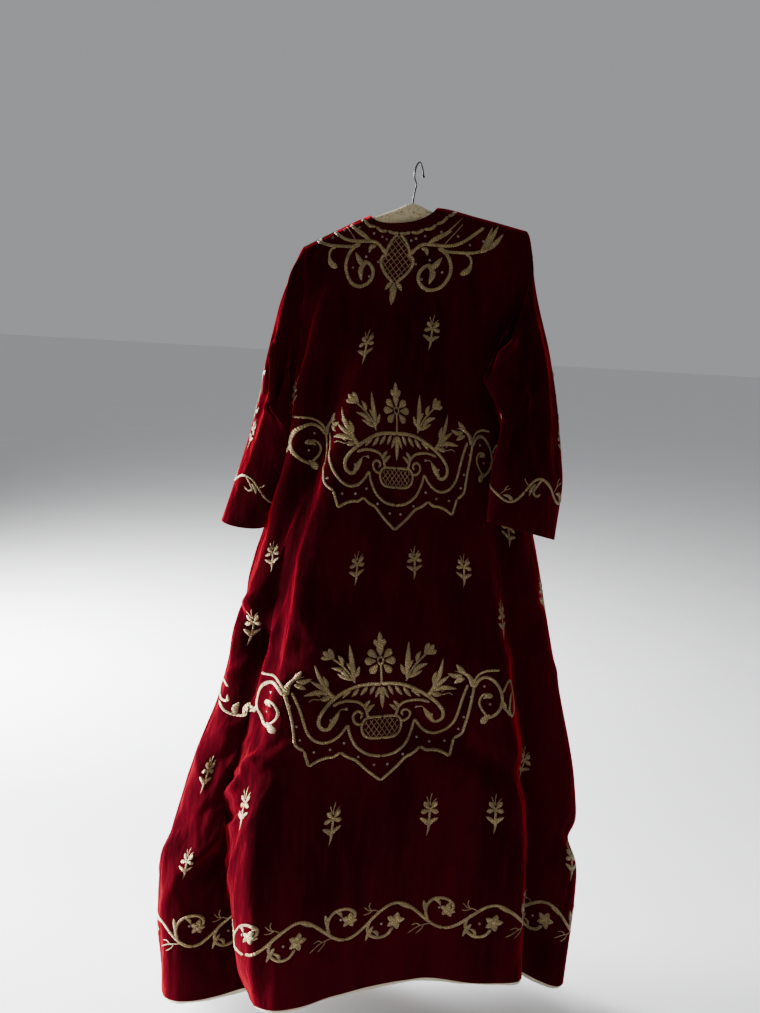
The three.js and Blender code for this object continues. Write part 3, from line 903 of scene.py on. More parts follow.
def smooth_line(points: Array, step: float) -> Array:
    """A centripetal Catmull-Rom curve through the points, resampled at equal steps.

    Args:
        points: (n, k) places the line passes through.
        step: Distance between samples.

    Returns:
        (m, k) samples from the first point to the last.
    """
    ends = np.concatenate([[2 * points[0] - points[1]], points, [2 * points[-1] - points[-2]]])
    knots = np.concatenate([[0], np.cumsum(np.sqrt(lengths(np.diff(ends, axis=0))))])
    a, b, c, d = (ends[k : k + len(points) - 1][:, None] for k in range(4))
    ta, tb, tc, td = (knots[k : k + len(points) - 1][:, None, None] for k in range(4))
    t = tb + (tc - tb) * np.linspace(0, 1, 24, endpoint=False)[None, :, None]

    def between(first: Array, last: Array, start: Array, end: Array) -> Array:
        """A place on the line from first to last, by where t is between start and end."""
        return (first * (end - t) + last * (t - start)) / (end - start)

    ab, bc, cd = between(a, b, ta, tb), between(b, c, tb, tc), between(c, d, tc, td)
    fine = between(between(ab, bc, ta, tc), between(bc, cd, tb, td), tb, tc).reshape(-1, points.shape[1])
    fine = np.concatenate([fine, points[-1:]])
    run = running(fine)
    count = max(int(round(run[-1] / step)) + 1, 4)
    where = np.linspace(0, run[-1], count)
    return np.stack([np.interp(where, run, fine[:, k]) for k in range(points.shape[1])], axis=-1)


class RingBatch:
    """Many closed tubes, each a stack of rings with flat ends, joined as one mesh."""

    def __init__(self) -> None:
        """Starts with no tube."""
        self.vertices: list[Array] = []
        self.quads: list[Array] = []
        self.uv: list[Array] = []
        self.count = 0

    def add(self, rings: Array, uv: Array | None = None) -> None:
        """Adds one tube.

        Args:
            rings: (rows, around, 3) places.
            uv: (rows, around, 2) texture places, or None.
        """
        rows, around = rings.shape[:2]
        first = np.arange(around)
        fan = [[0, first[k], first[k + 1], first[min(k + 2, around - 1)]] for k in range(1, around - 1, 2)]
        cap = np.array([[q[1], q[2], q[0], q[0]] if q[2] == q[3] else q for q in fan])
        last = flipped(cap) + (rows - 1) * around
        quads = np.concatenate([grid_faces(rows, around, False, True), cap, last])
        vertices = rings.reshape(-1, 3)
        self.vertices.append(vertices)
        self.quads.append(outward(vertices, quads) + self.count)
        self.uv.append(np.zeros((len(vertices), 2)) if uv is None else uv.reshape(-1, 2))
        self.count += len(vertices)

    def build(self, name: str) -> Piece:
        """The joined mesh as one object."""
        return Mesh.build(name, *(np.concatenate(part) for part in (self.vertices, self.quads, self.uv)))


def seam_roll(away: Array, level: Array) -> Array:
    """How far the cloth turns in beside a seam: a bell of the distance, and nothing at the shoulder."""
    return SEAM_ROLL * bell(away, ROLL_WIDTH) * smoothstep(level, *ROLL_LEVELS)


@dataclass
class Cut:
    """How a body panel is cut: the seams it runs between and how finely it is drawn."""

    name: str
    start: Callable[[Array], Array]
    end: Callable[[Array], Array]
    columns: int
    rows: int
    top: float = 0.0

    NEAR_SHARES: ClassVar[tuple[float, ...]] = (0.0, 0.002, 0.006)
    INNER: ClassVar[float] = 0.011
    NEAR_LEVELS: ClassVar[tuple[float, ...]] = (0.0, 1.5, 3, 5, 7.5, 10, 13, 16, 20, 24, 28)

    def shares(self) -> Array:
        """Shares of the panel's width at which its columns stand, closer beside its seams."""
        edge = np.array(self.NEAR_SHARES)
        return np.concatenate([edge, np.linspace(self.INNER, 1 - self.INNER, self.columns), 1 - edge[::-1]])

    def levels(self) -> Array:
        """Levels of its rows, closer at the shoulder and at the hem.

        Returns:
            The levels, downward.
        """
        near = np.array(self.NEAR_LEVELS) + self.top
        far = np.linspace(near[-1], LENGTH - 4, self.rows)[1:]
        return np.concatenate([near, far, [LENGTH - 1.5, LENGTH]])


# Waves of the lining's edge: height, how many go round the hem, and start.
LINING_WAVES = ((1.6, 7, 0), (1.0, 17, 1), (0.5, 41, 0))
RIPPLE = (0.35, 150)  # the same of its wall


@dataclass
class RobeBody:
    """The robe's five body panels and the strip of lining inside their hem."""

    LINING_COLUMNS: ClassVar[int] = 720
    LINING_ROWS: ClassVar[int] = 12
    LINING_EXTRA: ClassVar[int] = 4  # rows of the part that shows

    form: RobeForm
    centre_back: Pair = (186.7, 172.4)  # angle of the closed opening's seam, top and hem

    def cuts(self) -> tuple[Cut, ...]:
        """The panels with the angles of their seams by level.

        Returns:
            The five cuts.
        """
        side = lambda level: self.form.edge.at("deg", level)
        back = lambda level: np.interp(level, [0, LENGTH], self.centre_back)
        return (
            Cut("front_panel", lambda v: -side(v), side, 176, 238),
            Cut("back_panel_left", lambda v: back(v) - 360, lambda v: side(v) - 180, 96, 210),
            Cut("back_panel_right", lambda v: 180 - side(v), back, 96, 210),
            Cut("side_gore_left", lambda v: side(v) - 180, lambda v: -side(v), 44, 170, ARMHOLE),
            Cut("side_gore_right", side, lambda v: 180 - side(v), 44, 170, ARMHOLE),
        )

    def grid(self, cut: Cut) -> tuple[Array, Array, Array]:
        """Mid-wall points, normals and arc widths of a panel between its seams.

        Half a seam is left at each edge. The cloth turns in along the seam by a bell curve of
        the distance to it.

        Args:
            cut: The panel.

        Returns:
            Points and normals by level and place across, and widths by level.
        """
        levels = cut.levels()[:, None]
        shares = cut.shares()[None, :]
        start, end = cut.start(levels), cut.end(levels)
        per_start = lengths(self.form.plain(start + 1, levels) - self.form.plain(start, levels))
        per_end = lengths(self.form.plain(end, levels) - self.form.plain(end - 1, levels))
        low, high = start + SEAM / 2 / per_start, end - SEAM / 2 / per_end
        nominal = start + (end - start) * shares
        deg = low + (high - low) * shares
        first = self.form.first_level(nominal)
        level = first + (LENGTH - first) * levels / LENGTH
        points = self.form.point(deg, level)
        normals = self.form.normal(nominal, level)
        run = running(points)
        nearest = np.minimum(run, run[:, -1:] - run)
        roll = seam_roll(nearest, level)
        return points - normals * roll[..., None], normals, run[:, -1]

    def build_panels(self, velvet: Finish) -> None:
        """Every panel as a closed wall, with its flat size logged.

        Args:
            velvet: The finish.
        """
        for cut in self.cuts():
            points, normals, widths = self.grid(cut)
            piece = Mesh.build(f"velvet_{cut.name}", *cloth_shell(points, normals, VELVET_WALL, False))
            Mesh.dress(piece, velvet, "velvet", cut.name)
            wide = float(widths.max())
            down = float(lengths(np.diff(points, axis=0)).mean(axis=1).sum())
            declare_sheet(piece, wide, down, points)

    def build_lining(self, cotton: Finish) -> None:
        """A ring of cloth inside the hem that shows unevenly below the velvet.

        Its rows follow the hem's rows, set in by the wall and the gap, and the last rows carry on
        down their slope by a length that wanders round the robe in slow waves.

        Args:
            cotton: The finish.
        """
        deg = np.linspace(-180, 180, self.LINING_COLUMNS, endpoint=False)[None, :]
        levels = np.linspace(LENGTH - LINING_DEPTH, LENGTH, self.LINING_ROWS)[:, None]
        inward = VELVET_WALL / 2 + LINING_GAP + LINING_WALL / 2
        deg, levels = np.broadcast_arrays(deg, levels)
        normals = self.form.normal(deg, levels)
        points = self.form.point(deg, levels) - normals * inward
        slope = unit(points[-1] - points[-2])
        phase = np.radians(deg[-1])
        shows = LINING_SHOWS
        for height, count, start in LINING_WAVES:
            shows = shows + height * np.sin(count * phase + start)
        extra = points[-1] + slope * shows[:, None] * np.linspace(0.25, 1, self.LINING_EXTRA)[:, None, None]
        points = np.concatenate([points, extra])
        normals = np.concatenate([normals, np.repeat(normals[-1:], self.LINING_EXTRA, axis=0)])
        ripple = RIPPLE[0] * np.sin(np.radians(deg[:1]) * RIPPLE[1])
        ripple = ripple * np.linspace(0, 1, len(points))[:, None] ** 2
        points = points + normals * ripple[..., None]
        piece = Mesh.build("cotton_hem_lining", *cloth_shell(points, normals, LINING_WALL, True))
        Mesh.dress(piece, cotton, "lining", "hem_lining")
        around = float(lengths(np.roll(points[-1], -1, axis=0) - points[-1]).sum())
        declare_sheet(piece, around, LINING_DEPTH + LINING_SHOWS, joined(points))


def joined(points: Array) -> Array:
    """A tube's grid with its first column repeated at the end."""
    return np.concatenate([points, points[:, :1]], axis=1)


def declare_sheet(piece: Piece, width: float, length: float, grid: Array) -> None:
    """States a hung cloth's flat cut; its area comes from the diagonals of the grid's cells.

    Args:
        piece: The cloth.
        width: Its widest measure in millimetres.
        length: Its longest one.
        grid: Its mid-wall points.
    """
    crossed = np.cross(grid[1:, 1:] - grid[:-1, :-1], grid[1:, :-1] - grid[:-1, 1:])
    area = float(lengths(crossed).sum() / 2) * METRES**2
    flat = (round(width * METRES, 3), round(length * METRES, 3))
    logging.info("%s: cut %.3f by %.3f m, %.4f square metres", piece.name, *flat, area)


@dataclass
class SleevePiece:
    """A sleeve as one piece of cloth, open at the armhole and the cuff."""

    form: SleeveForm
    name: str
    turns: int = 190
    rows: int = 132

    NEAR: ClassVar[tuple[float, ...]] = (0, 1.2, 3, 5.5)  # the first rows, closer together

    def build(self, velvet: Finish) -> None:
        """The tube from the armhole's edge to the cuff, turned in where it is sewn.

        Args:
            velvet: The finish.
        """
        span = self.form.SPAN
        middle = np.linspace(8.5, span - 3, self.rows)
        down = np.concatenate([self.NEAR, middle, [span - self.NEAR[1], span]])
        turn = np.linspace(0, 360, self.turns, endpoint=False)
        turn, down = np.meshgrid(turn, down)
        normals = self.form.normal(turn, down)
        level = ARMHOLE * (1 - np.cos(np.radians(turn))) / 2
        roll = seam_roll(down, level)
        points = self.form.point(turn, down) - normals * roll[..., None]
        piece = Mesh.build(f"velvet_{self.name}", *cloth_shell(points, normals, VELVET_WALL, True))
        Mesh.dress(piece, velvet, "velvet", self.name)
        closed = joined(points)
        around = float(lengths(np.diff(closed, axis=1)).sum(axis=1).max())
        along = float(lengths(np.diff(points, axis=0)).sum(axis=0).max())
        declare_sheet(piece, around, along, closed)


@dataclass
class Hanger:
    """The padded hanger's body, with its bent wire hook and the ball on the wire's end."""

    stations: int = 150
    around: int = 48
    end_round: float = 9.0
    wire_radius: float = 1.5
    tip_radius: float = 2.6
    sides: int = 16
    puff: float = 0.018  # height of the padding's waves, as a share
    puff_length: float = 9.5  # millimetres in a radian of them

    def build_body(self, brocade: Finish) -> None:
        """Padded ovals along the drooping line, gathered softly towards the stem and the ends.

        Each ring is the table's ellipse; the ends close in a quarter circle, and shallow waves
        of the padding run across, strongest under the top line.

        Args:
            brocade: The finish.
        """
        table = Curves(HANGER, "x")
        start, end = HANGER[0].x, HANGER[-1].x
        x = start + (end - start) * (1 - np.cos(np.linspace(0, np.pi, self.stations))) / 2
        turn = np.linspace(0, 2 * np.pi, self.around, endpoint=False)
        from_end = np.minimum(x - start, end - x)
        close = np.sqrt(np.maximum(1 - (1 - np.clip(from_end / self.end_round, 0, 1)) ** 2, 1e-3))[:, None]
        puff = 1 + self.puff * np.sin(x / self.puff_length)[:, None] * (0.6 + 0.4 * np.sin(2 * turn))
        high = table.at("high", x)[:, None]
        thick = table.at("thick", x)[:, None] * close * puff
        middle = table.at("top", x)[:, None] - high
        y = thick * np.cos(turn)
        z = middle + high * close * puff * np.sin(turn)
        rings = np.stack([np.broadcast_to(x[:, None], y.shape), y, z], axis=-1)
        batch = RingBatch()
        batch.add(rings)
        piece = batch.build("padded_hanger_body")
        Mesh.dress(piece, brocade, "padding", "hanger_body")

    def build_hook(self, steel: Finish) -> None:
        """The wire, a round section carried along a smooth line, and the ball on its open end.

        Args:
            steel: The finish.
        """
        path = smooth_line(np.array(HOOK_LINE, float), 1.2)
        along = unit(np.gradient(path, axis=0))
        aside = np.broadcast_to([0.35, 0.0, 1.0], along.shape) + 1e-3  # never along the wire
        side = unit(np.cross(along, aside))
        other = np.cross(side, along)
        turn = np.linspace(0, 2 * np.pi, self.sides, endpoint=False)[None, :, None]
        circle = np.cos(turn) * side[:, None] + np.sin(turn) * other[:, None]
        batch = RingBatch()
        batch.add(path[:, None] + self.wire_radius * circle)
        centre = path[-1] + along[-1] * self.tip_radius
        rise = np.linspace(0.05, np.pi - 0.05, self.sides)[:, None, None]
        ball = -np.cos(rise) * along[-1] + np.sin(rise) * (np.cos(turn) * side[-1] + np.sin(turn) * other[-1])
        batch.add(centre + self.tip_radius * ball)
        piece = batch.build("bent_wire_hook")
        Mesh.dress(piece, steel, "wire", "hanger_hook", "hanger_hook_tip")


class Shader:
    """A material's node tree, built up call by call from its main shader."""

    def __init__(self, name: str, **sockets: Any) -> None:
        """Makes the material and sets sockets of its main shader that are the same all over.

        Args:
            name: The material's name.
            sockets: Values by socket, with _ for a space.
        """
        self.material = bpy.data.materials.new(name)
        self.material.use_nodes = True
        self.tree = self.material.node_tree
        self.main = self.tree.nodes["Principled BSDF"]
        for socket, value in sockets.items():
            self.main.inputs[socket.replace("_", " ")].default_value = value

    def node(self, kind: str, inputs: dict[Any, Any] | None = None, **settings: Any) -> bpy.types.Node:
        """A node with its settings; an input is given a value, or linked where a socket is given.

        Args:
            kind: The node's type.
            inputs: Values or sockets by input.
            settings: Its own settings.

        Returns:
            The node.
        """
        made = self.tree.nodes.new(kind)
        for key, value in settings.items():
            setattr(made, key, value)
        for key, value in (inputs or {}).items():
            if isinstance(value, Socket):
                self.tree.links.new(value, made.inputs[key])
            else:
                made.inputs[key].default_value = value
        return made

    def places(self, scale: tuple[float, float, float] = (1, 1, 1)) -> Socket:
        """Object coordinates, stretched by a scale for each axis."""
        source = self.node("ShaderNodeTexCoord").outputs["Object"]
        return self.node("ShaderNodeMapping", {"Vector": source, "Scale": scale}).outputs["Vector"]

    def noise(self, where: Socket, scale: float, detail: float = 2.0) -> Socket:
        """Soft random variation of about one metre over scale in size."""
        made = self.node("ShaderNodeTexNoise", {"Vector": where, "Scale": scale, "Detail": detail})
        return made.outputs["Fac"]

    def wave(self, where: Socket, scale: float, direction: str, **inputs: float) -> Socket:
        """Even waves along an axis."""
        made = {"Vector": where, "Scale": scale, **inputs}
        return self.node("ShaderNodeTexWave", made, bands_direction=direction).outputs["Fac"]

    def spread(self, value: Socket, low: float, high: float, to: Pair) -> Any:
        """A value between low and high brought to the range to."""
        inputs = {"Value": value, 1: low, 2: high, 3: to[0], 4: to[1]}
        return self.node("ShaderNodeMapRange", inputs, interpolation_type="SMOOTHSTEP").outputs["Result"]

    def blend(self, share: Any, first: Any, second: Any) -> Socket:
        """Two colours mixed by a share."""
        return self.node("ShaderNodeMix", {0: share, 6: first, 7: second}, data_type="RGBA").outputs[2]

    def layered(self, base: Any, *layers: tuple[Any, float, float, float, float, Any]) -> Any:
        """A colour with others laid over it.

        Args:
            base: The lowest colour.
            layers: For each, a mask, its low and high value, the shares that it gives there and
                the colour on top.

        Returns:
            The last mix's colour.
        """
        for mask, low, high, first, last, colour in layers:
            base = self.blend(self.spread(mask, low, high, (first, last)), base, colour)
        return base

    def bumps(self, *layers: tuple[Any, float, float]) -> Any:
        """Bumps laid on one another.

        Args:
            layers: For each, from the lowest, a height, its strength and its distance in metres.

        Returns:
            The last bump's normal.
        """
        normal: dict[Any, Any] = {}
        for height, strength, distance in layers:
            inputs = {"Height": height, "Strength": strength, "Distance": distance, **normal}
            normal = {"Normal": self.node("ShaderNodeBump", inputs).outputs["Normal"]}
        return normal["Normal"]

    def finish(self, **links: Socket) -> Finish:
        """Links sockets to the main shader and gives the material.

        Args:
            links: Sockets by the socket they feed, with _ for a space.

        Returns:
            The material.
        """
        for socket, value in links.items():
            self.tree.links.new(value, self.main.inputs[socket.replace("_", " ")])
        return self.material


def rgba(red: float, green: float, blue: float) -> Colour:
    """An opaque colour."""
    return (red, green, blue, 1.0)


@dataclass(frozen=True)
class Velvet:
    """Deep red velvet: dark head-on, bright where it turns away, with crushed and brushed pile."""

    deep: Colour = rgba(0.011, 0.0010, 0.0023)
    raised: Colour = rgba(0.056, 0.0022, 0.0056)
    sheen: Colour = rgba(0.95, 0.012, 0.042)

    def material(self) -> Finish:
        """Broad nap shading and streaks down the cloth in the colour, with pile in the bump.

        Returns:
            The material.
        """
        sheen = {"Sheen_Weight": 0.68, "Sheen_Roughness": 0.34, "Sheen_Tint": self.sheen}
        shader = Shader("red_velvet", **sheen, Specular_IOR_Level=0.0, Diffuse_Roughness=0.7)
        nap = shader.noise(shader.places((1, 1, 0.35)), 9, 3)
        streak = shader.noise(shader.places((1, 1, 0.12)), 85, 2)
        crumple = shader.noise(shader.places((1.3, 1.3, 0.5)), 15, 3)
        crush = shader.noise(shader.places(), 55, 4)
        pile = shader.noise(shader.places(), 1150, 1)
        tone = shader.layered(
            self.deep,
            (nap, 0.3, 0.7, 0.15, 0.8, self.raised),
            (streak, 0.45, 0.75, 0.0, 0.45, self.raised),
            (pile, 0.25, 0.6, 0.4, 0.0, self.deep),
        )
        surface = shader.bumps(
            (crumple, 0.75, 0.018), (crush, 0.3, 0.003), (streak, 0.2, 0.0012), (pile, 0.45, 0.0005)
        )
        rough = shader.spread(crush, 0.3, 0.7, (0.95, 0.75))
        return shader.finish(Base_Color=tone, Roughness=rough, Normal=surface)


@dataclass(frozen=True)
class Cotton:
    """Plain cream lining cotton in a close weave."""

    light: Colour = rgba(0.66, 0.58, 0.42)
    # used for handling marks, and as painted shade in the hollows between the weft threads
    dark: Colour = rgba(0.46, 0.38, 0.25)
    thread: float = 420.0  # wave scale at which threads lie about 0.75 mm apart

    def material(self) -> Finish:
        """Two crossing sets of threads in the bump; in the colour, faint handling marks and painted shade in
        the hollows between the weft threads.

        Returns:
            The material.
        """
        shader = Shader("cream_cotton", Sheen_Weight=0.15, Specular_IOR_Level=0.2)
        where = shader.places()
        weft = shader.wave(where, self.thread, "Z")
        warp = shader.wave(where, self.thread, "X")
        marks = shader.noise(where, 14, 4)
        tone = shader.layered(
            # handling marks, then painted shade in the hollows between the weft threads
            self.light, (marks, 0.35, 0.75, 0.0, 0.6, self.dark), (weft, 0.0, 0.5, 0.25, 0.0, self.dark)
        )
        surface = shader.bumps((weft, 0.4, 0.0003), (warp, 0.4, 0.0003))
        rough = shader.spread(marks, 0.3, 0.7, (0.9, 0.8))
        return shader.finish(Base_Color=tone, Roughness=rough, Normal=surface)


@dataclass(frozen=True)
class Brocade:
    """Cream brocade of the padded hanger: shiny curling figures on a ribbed matt ground."""

    ground: Colour = rgba(0.60, 0.49, 0.285)
    figure: Colour = rgba(0.34, 0.265, 0.15)

    def material(self) -> Finish:
        """The figures are bands of a twisted noise; they shine more and stand a little out.

        Returns:
            The material.
        """
        shader = Shader("cream_brocade", Sheen_Weight=0.25, Specular_IOR_Level=0.4)
        where = shader.places()
        twisted = {"Vector": where, "Scale": 62.0, "Detail": 0.0, "Distortion": 1.6}
        curl = shader.node("ShaderNodeTexNoise", twisted).outputs["Fac"]
        inner = shader.spread(curl, 0.45, 0.48, (0.0, 1.0))
        outer = shader.spread(curl, 0.51, 0.54, (1.0, 0.0))
        figure = shader.node("ShaderNodeMath", {0: inner, 1: outer}, operation="MULTIPLY").outputs[0]
        rib = shader.wave(where, 330.0, "X")
        tone = shader.blend(figure, self.ground, self.figure)
        surface = shader.bumps((rib, 0.35, 0.0003), (figure, 0.5, 0.0006))
        rough = shader.spread(figure, 0.0, 1.0, (0.75, 0.38))
        return shader.finish(Base_Color=tone, Roughness=rough, Normal=surface)


@dataclass(frozen=True)
class Steel:
    """Dark bent steel wire, rubbed brighter in places."""

    dark: Colour = rgba(0.035, 0.031, 0.028)
    rubbed: Colour = rgba(0.19, 0.17, 0.15)

    def material(self) -> Finish:
        """Drawing marks along the wire and rubbed patches.

        Returns:
            The material.
        """
        shader = Shader("dark_steel_wire", Metallic=0.85, Specular_IOR_Level=0.5)
        patch = shader.noise(shader.places(), 90, 4)
        grain = shader.noise(shader.places((1, 1, 0.2)), 1500, 1)
        tone = shader.layered(self.dark, (patch, 0.5, 0.72, 0.0, 0.8, self.rubbed))
        rough = shader.spread(patch, 0.3, 0.75, (0.5, 0.28))
        return shader.finish(Base_Color=tone, Roughness=rough, Normal=shader.bumps((grain, 0.2, 0.0001)))


@dataclass(frozen=True)
class GoldThread:
    """Couched metal thread: fine slanting stitches across each line, partly dulled."""

    bright: Colour = rgba(0.45, 0.315, 0.115)
    # used for tarnish, for random flecks, and as painted shade in the grooves between stitches
    dull: Colour = rgba(0.12, 0.08, 0.029)
    stitch: float = 2.1  # millimetres between stitches

    WAVES: ClassVar[float] = 20.0  # radians of a wave texture in one unit of its scale
    SLANT: ClassVar[float] = 0.085

    def material(self) -> Finish:
        """Stitches are waves of the length along the line; the grooves between them are darkened in the
        colour as painted shade.

        Returns:
            The material.
        """
        shader = Shader("gold_thread", Metallic=0.45, Specular_IOR_Level=0.6, Sheen_Weight=0.1)
        place = shader.node("ShaderNodeUVMap", uv_map="thread").outputs["UV"]
        scale = (2 * math.pi / self.stitch / self.WAVES, self.SLANT, 1.0)
        stretch = shader.node("ShaderNodeMapping", {"Vector": place, "Scale": scale}).outputs["Vector"]
        wave = shader.wave(stretch, 1.0, "DIAGONAL", Distortion=1.2, Detail=1.0)
        age = shader.noise(shader.places(), 45, 4)
        fleck = shader.noise(shader.places(), 480, 2)
        glint = shader.noise(shader.places(), 1400, 1)
        tone = shader.layered(
            self.bright,
            (age, 0.35, 0.7, 0.0, 0.6, self.dull),
            (fleck, 0.42, 0.62, 0.8, 0.0, self.dull),
            # painted shade: the troughs of the stitch waves, the grooves between stitches, are darkened
            (wave, 0.0, 0.5, 0.75, 0.0, self.dull),
        )
        surface = shader.bumps((wave, 0.9, 0.0010), (fleck, 0.5, 0.0010), (glint, 0.25, 0.0002))
        rough = shader.spread(age, 0.3, 0.7, (0.34, 0.55))
        return shader.finish(Base_Color=tone, Roughness=rough, Normal=surface)


@dataclass(frozen=True)
class Sequin:
    """Small pearly sequins, a little yellowed."""

    pale: Colour = rgba(0.40, 0.30, 0.25)
    warm: Colour = rgba(0.22, 0.14, 0.11)

    def material(self) -> Finish:
        """Each sequin takes its own tone from slow noise, and all are glossy.

        Returns:
            The material.
        """
        shader = Shader("pearly_sequin", Metallic=0.5, Coat_Weight=0.4, Specular_IOR_Level=0.6)
        slow = shader.noise(shader.places(), 30, 2)
        tone = shader.layered(self.pale, (slow, 0.35, 0.65, 0.0, 1.0, self.warm))
        return shader.finish(Base_Color=tone, Roughness=shader.spread(slow, 0.3, 0.7, (0.18, 0.35)))


@dataclass(frozen=True)
class Floor:
    """A plain pale floor."""

    height: float = -1.605
    reach: float = 60.0
    tone: Colour = rgba(0.86, 0.86, 0.86)

    def build(self) -> None:
        """One flat sheet with a faint mottle."""
        shader = Shader("pale_floor", Specular_IOR_Level=0.2)
        mottle = shader.spread(shader.noise(shader.places(), 3, 4), 0.3, 0.7, (0.0, 0.06))
        tone = shader.blend(mottle, self.tone, rgba(0.5, 0.5, 0.5))
        corners = np.array([(-1, -1, 0), (1, -1, 0), (1, 1, 0), (-1, 1, 0)]) * self.reach / METRES
        corners[:, 2] = self.height / METRES
        floor = Mesh.build("floor", corners, np.array([[0, 1, 2, 3]]))
        rough = shader.spread(mottle, 0, 1, (0.7, 0.75))
        floor.data.materials.append(shader.finish(Base_Color=tone, Roughness=rough))


@dataclass(frozen=True)
class Light:
    """A square soft light: where it stands, how large and strong it is, its aim and its spread."""

    name: str
    place: tuple[float, float, float]
    size: float
    power: float
    aim: tuple[float, float, float] = (0.0, 0.0, -0.75)  # the robe's middle
    spread: float = 180.0


LIGHTS = (
    Light("window", (-2.2, 1.75, 0.0), 1.5, 660, (0.0, 2.05, -0.6)),
    Light("low_window", (-2.2, 0.15, -1.2), 0.8, 52, (0.0, 0.0, -1.35), 48),
    Light("front", (-1.9, -2.7, 1.0), 2.4, 11),
    Light("behind", (1.2, 2.6, 1.2), 2.0, 12),
)
SENSOR = 36.0  # millimetres, the camera's film height


@dataclass(frozen=True)
class Studio:
    """The camera, set a little above the robe's middle and looking slightly down, and the lights."""

    eye: tuple[float, float, float] = (-0.0354, -2.0147, -0.2984)
    pitch: float = 9.0
    roll: float = 3.3
    focal: float = 39.0918
    daylight: tuple[float, float, float] = (0.97, 0.98, 1.0)
    sky: Colour = rgba(0.8, 0.81, 0.83)
    sky_strength: float = 0.42

    def build_camera(self) -> None:
        """Turns the camera by its downward pitch and then about its own line of sight."""
        pitch, roll = math.radians(self.pitch), math.radians(self.roll)
        ahead = Vector((0, math.cos(pitch), -math.sin(pitch)))
        level_up = Vector((0, math.sin(pitch), math.cos(pitch)))
        right = math.cos(roll) * Vector((1, 0, 0)) + math.sin(roll) * level_up
        up = math.cos(roll) * level_up - math.sin(roll) * Vector((1, 0, 0))
        data = bpy.data.cameras.new("camera")
        data.lens = self.focal
        data.sensor_width = SENSOR
        camera = hang("camera", data)
        axes = Matrix((right, up, -ahead)).transposed().to_4x4()
        camera.matrix_world = Matrix.Translation(self.eye) @ axes
        bpy.context.scene.camera = camera

    def build_light(self, light: Light) -> None:
        """A square soft light turned towards its aim.

        Args:
            light: Its sizes.
        """
        data = bpy.data.lights.new(light.name, "AREA")
        data.size, data.energy, data.color = light.size, light.power, self.daylight
        data.spread = math.radians(light.spread)
        lamp = hang(light.name, data)
        lamp.location = light.place
        lamp.rotation_euler = (Vector(light.aim) - Vector(light.place)).to_track_quat("-Z", "Y").to_euler()

    def build(self) -> None:
        """Everything that isn't the robe or the floor."""
        self.build_camera()
        for light in LIGHTS:
            self.build_light(light)
        world = bpy.data.worlds.new("studio")
        world.use_nodes = True
        inputs = world.node_tree.nodes["Background"].inputs
        inputs["Color"].default_value = self.sky
        inputs["Strength"].default_value = self.sky_strength
        bpy.context.scene.world = world


class Stroke(Enum):
    """How wide a line of couched thread is on its way from start to end."""

    CORD = "cord"  # even, with round ends
    LEAF = "leaf"  # pointed at both ends
    PETAL = "petal"  # narrow at its start, with a round tip
    TAIL = "tail"  # thick and round at its start, drawn out to a point

    def widths(self, t: Array, length: float, width: float) -> Array:
        """Widths at shares t of the way along a line of a given length.

        Args:
            t: Shares of the way along.
            length: The line's length.
            width: Its full width.

        Returns:
            A width for each share.
        """
        ends = np.clip(np.minimum(t, 1 - t) * length / (width / 2), 0.02, 1)
        round_ends = np.sqrt(1 - (1 - ends) ** 2)
        first = np.clip(t * length / (width / 2), 0.02, 1)
        share = {
            Stroke.CORD: round_ends,
            Stroke.LEAF: 0.08 + 0.92 * np.sin(np.pi * t**0.85) ** 0.85,
            Stroke.PETAL: 0.14 + 0.86 * np.sin(np.pi * np.clip(t, 0, 1) ** 1.7) ** 0.6,
            Stroke.TAIL: np.sqrt(1 - (1 - first) ** 2) * (1 - 0.94 * t**1.2),
        }[self]
        return width * share


@dataclass(frozen=True)
class Line:
    """One line of couched thread through places (right, down) in millimetres from an anchor."""

    stroke: Stroke
    width: float
    places: tuple[Pair, ...]

    def mirrored(self) -> "Line":
        """The same line on the other side of the axis."""
        return Line(self.stroke, self.width, tuple((-x, y) for x, y in self.places))


def line(stroke: Stroke, width: float, *places: Pair) -> Line:
    """A line of a kind and width through places."""
    return Line(stroke, width, places)


cord, leaf = partial(line, Stroke.CORD), partial(line, Stroke.LEAF)
petal, tail = partial(line, Stroke.PETAL), partial(line, Stroke.TAIL)
twig = partial(cord, 1.7)


def flower(centre: Pair, reach: Pair, width: float, *turns: float) -> tuple[Line, ...]:
    """Petals that point away from a centre.

    Args:
        centre: The flower's middle.
        reach: Distances from there at which a petal starts and ends.
        width: A petal's width.
        turns: Directions, in degrees from straight right.

    Returns:
        One line for each petal.
    """
    made = []
    for turn in np.radians(turns):
        steps = (reach[0], sum(reach) / 2, reach[1])
        across, down = math.cos(turn), -math.sin(turn)
        made.append(petal(width, *((centre[0] + across * r, centre[1] + down * r) for r in steps)))
    return tuple(made)


def wavy(width: float, period: float, downs: Sequence[float]) -> tuple[Line, ...]:
    """One cord over a whole period, through evenly spaced places with the given downs."""
    return (cord(width, *zip(np.linspace(-period / 2, period / 2, len(downs)), downs)),)


def star(width: float, centre: Pair, *tips: Pair) -> tuple[Line, ...]:
    """Straight leaves from a centre; each tip is given from there."""
    a, b = centre
    return tuple(leaf(width, centre, (a + x / 2, b + y / 2), (a + x, b + y)) for x, y in tips)


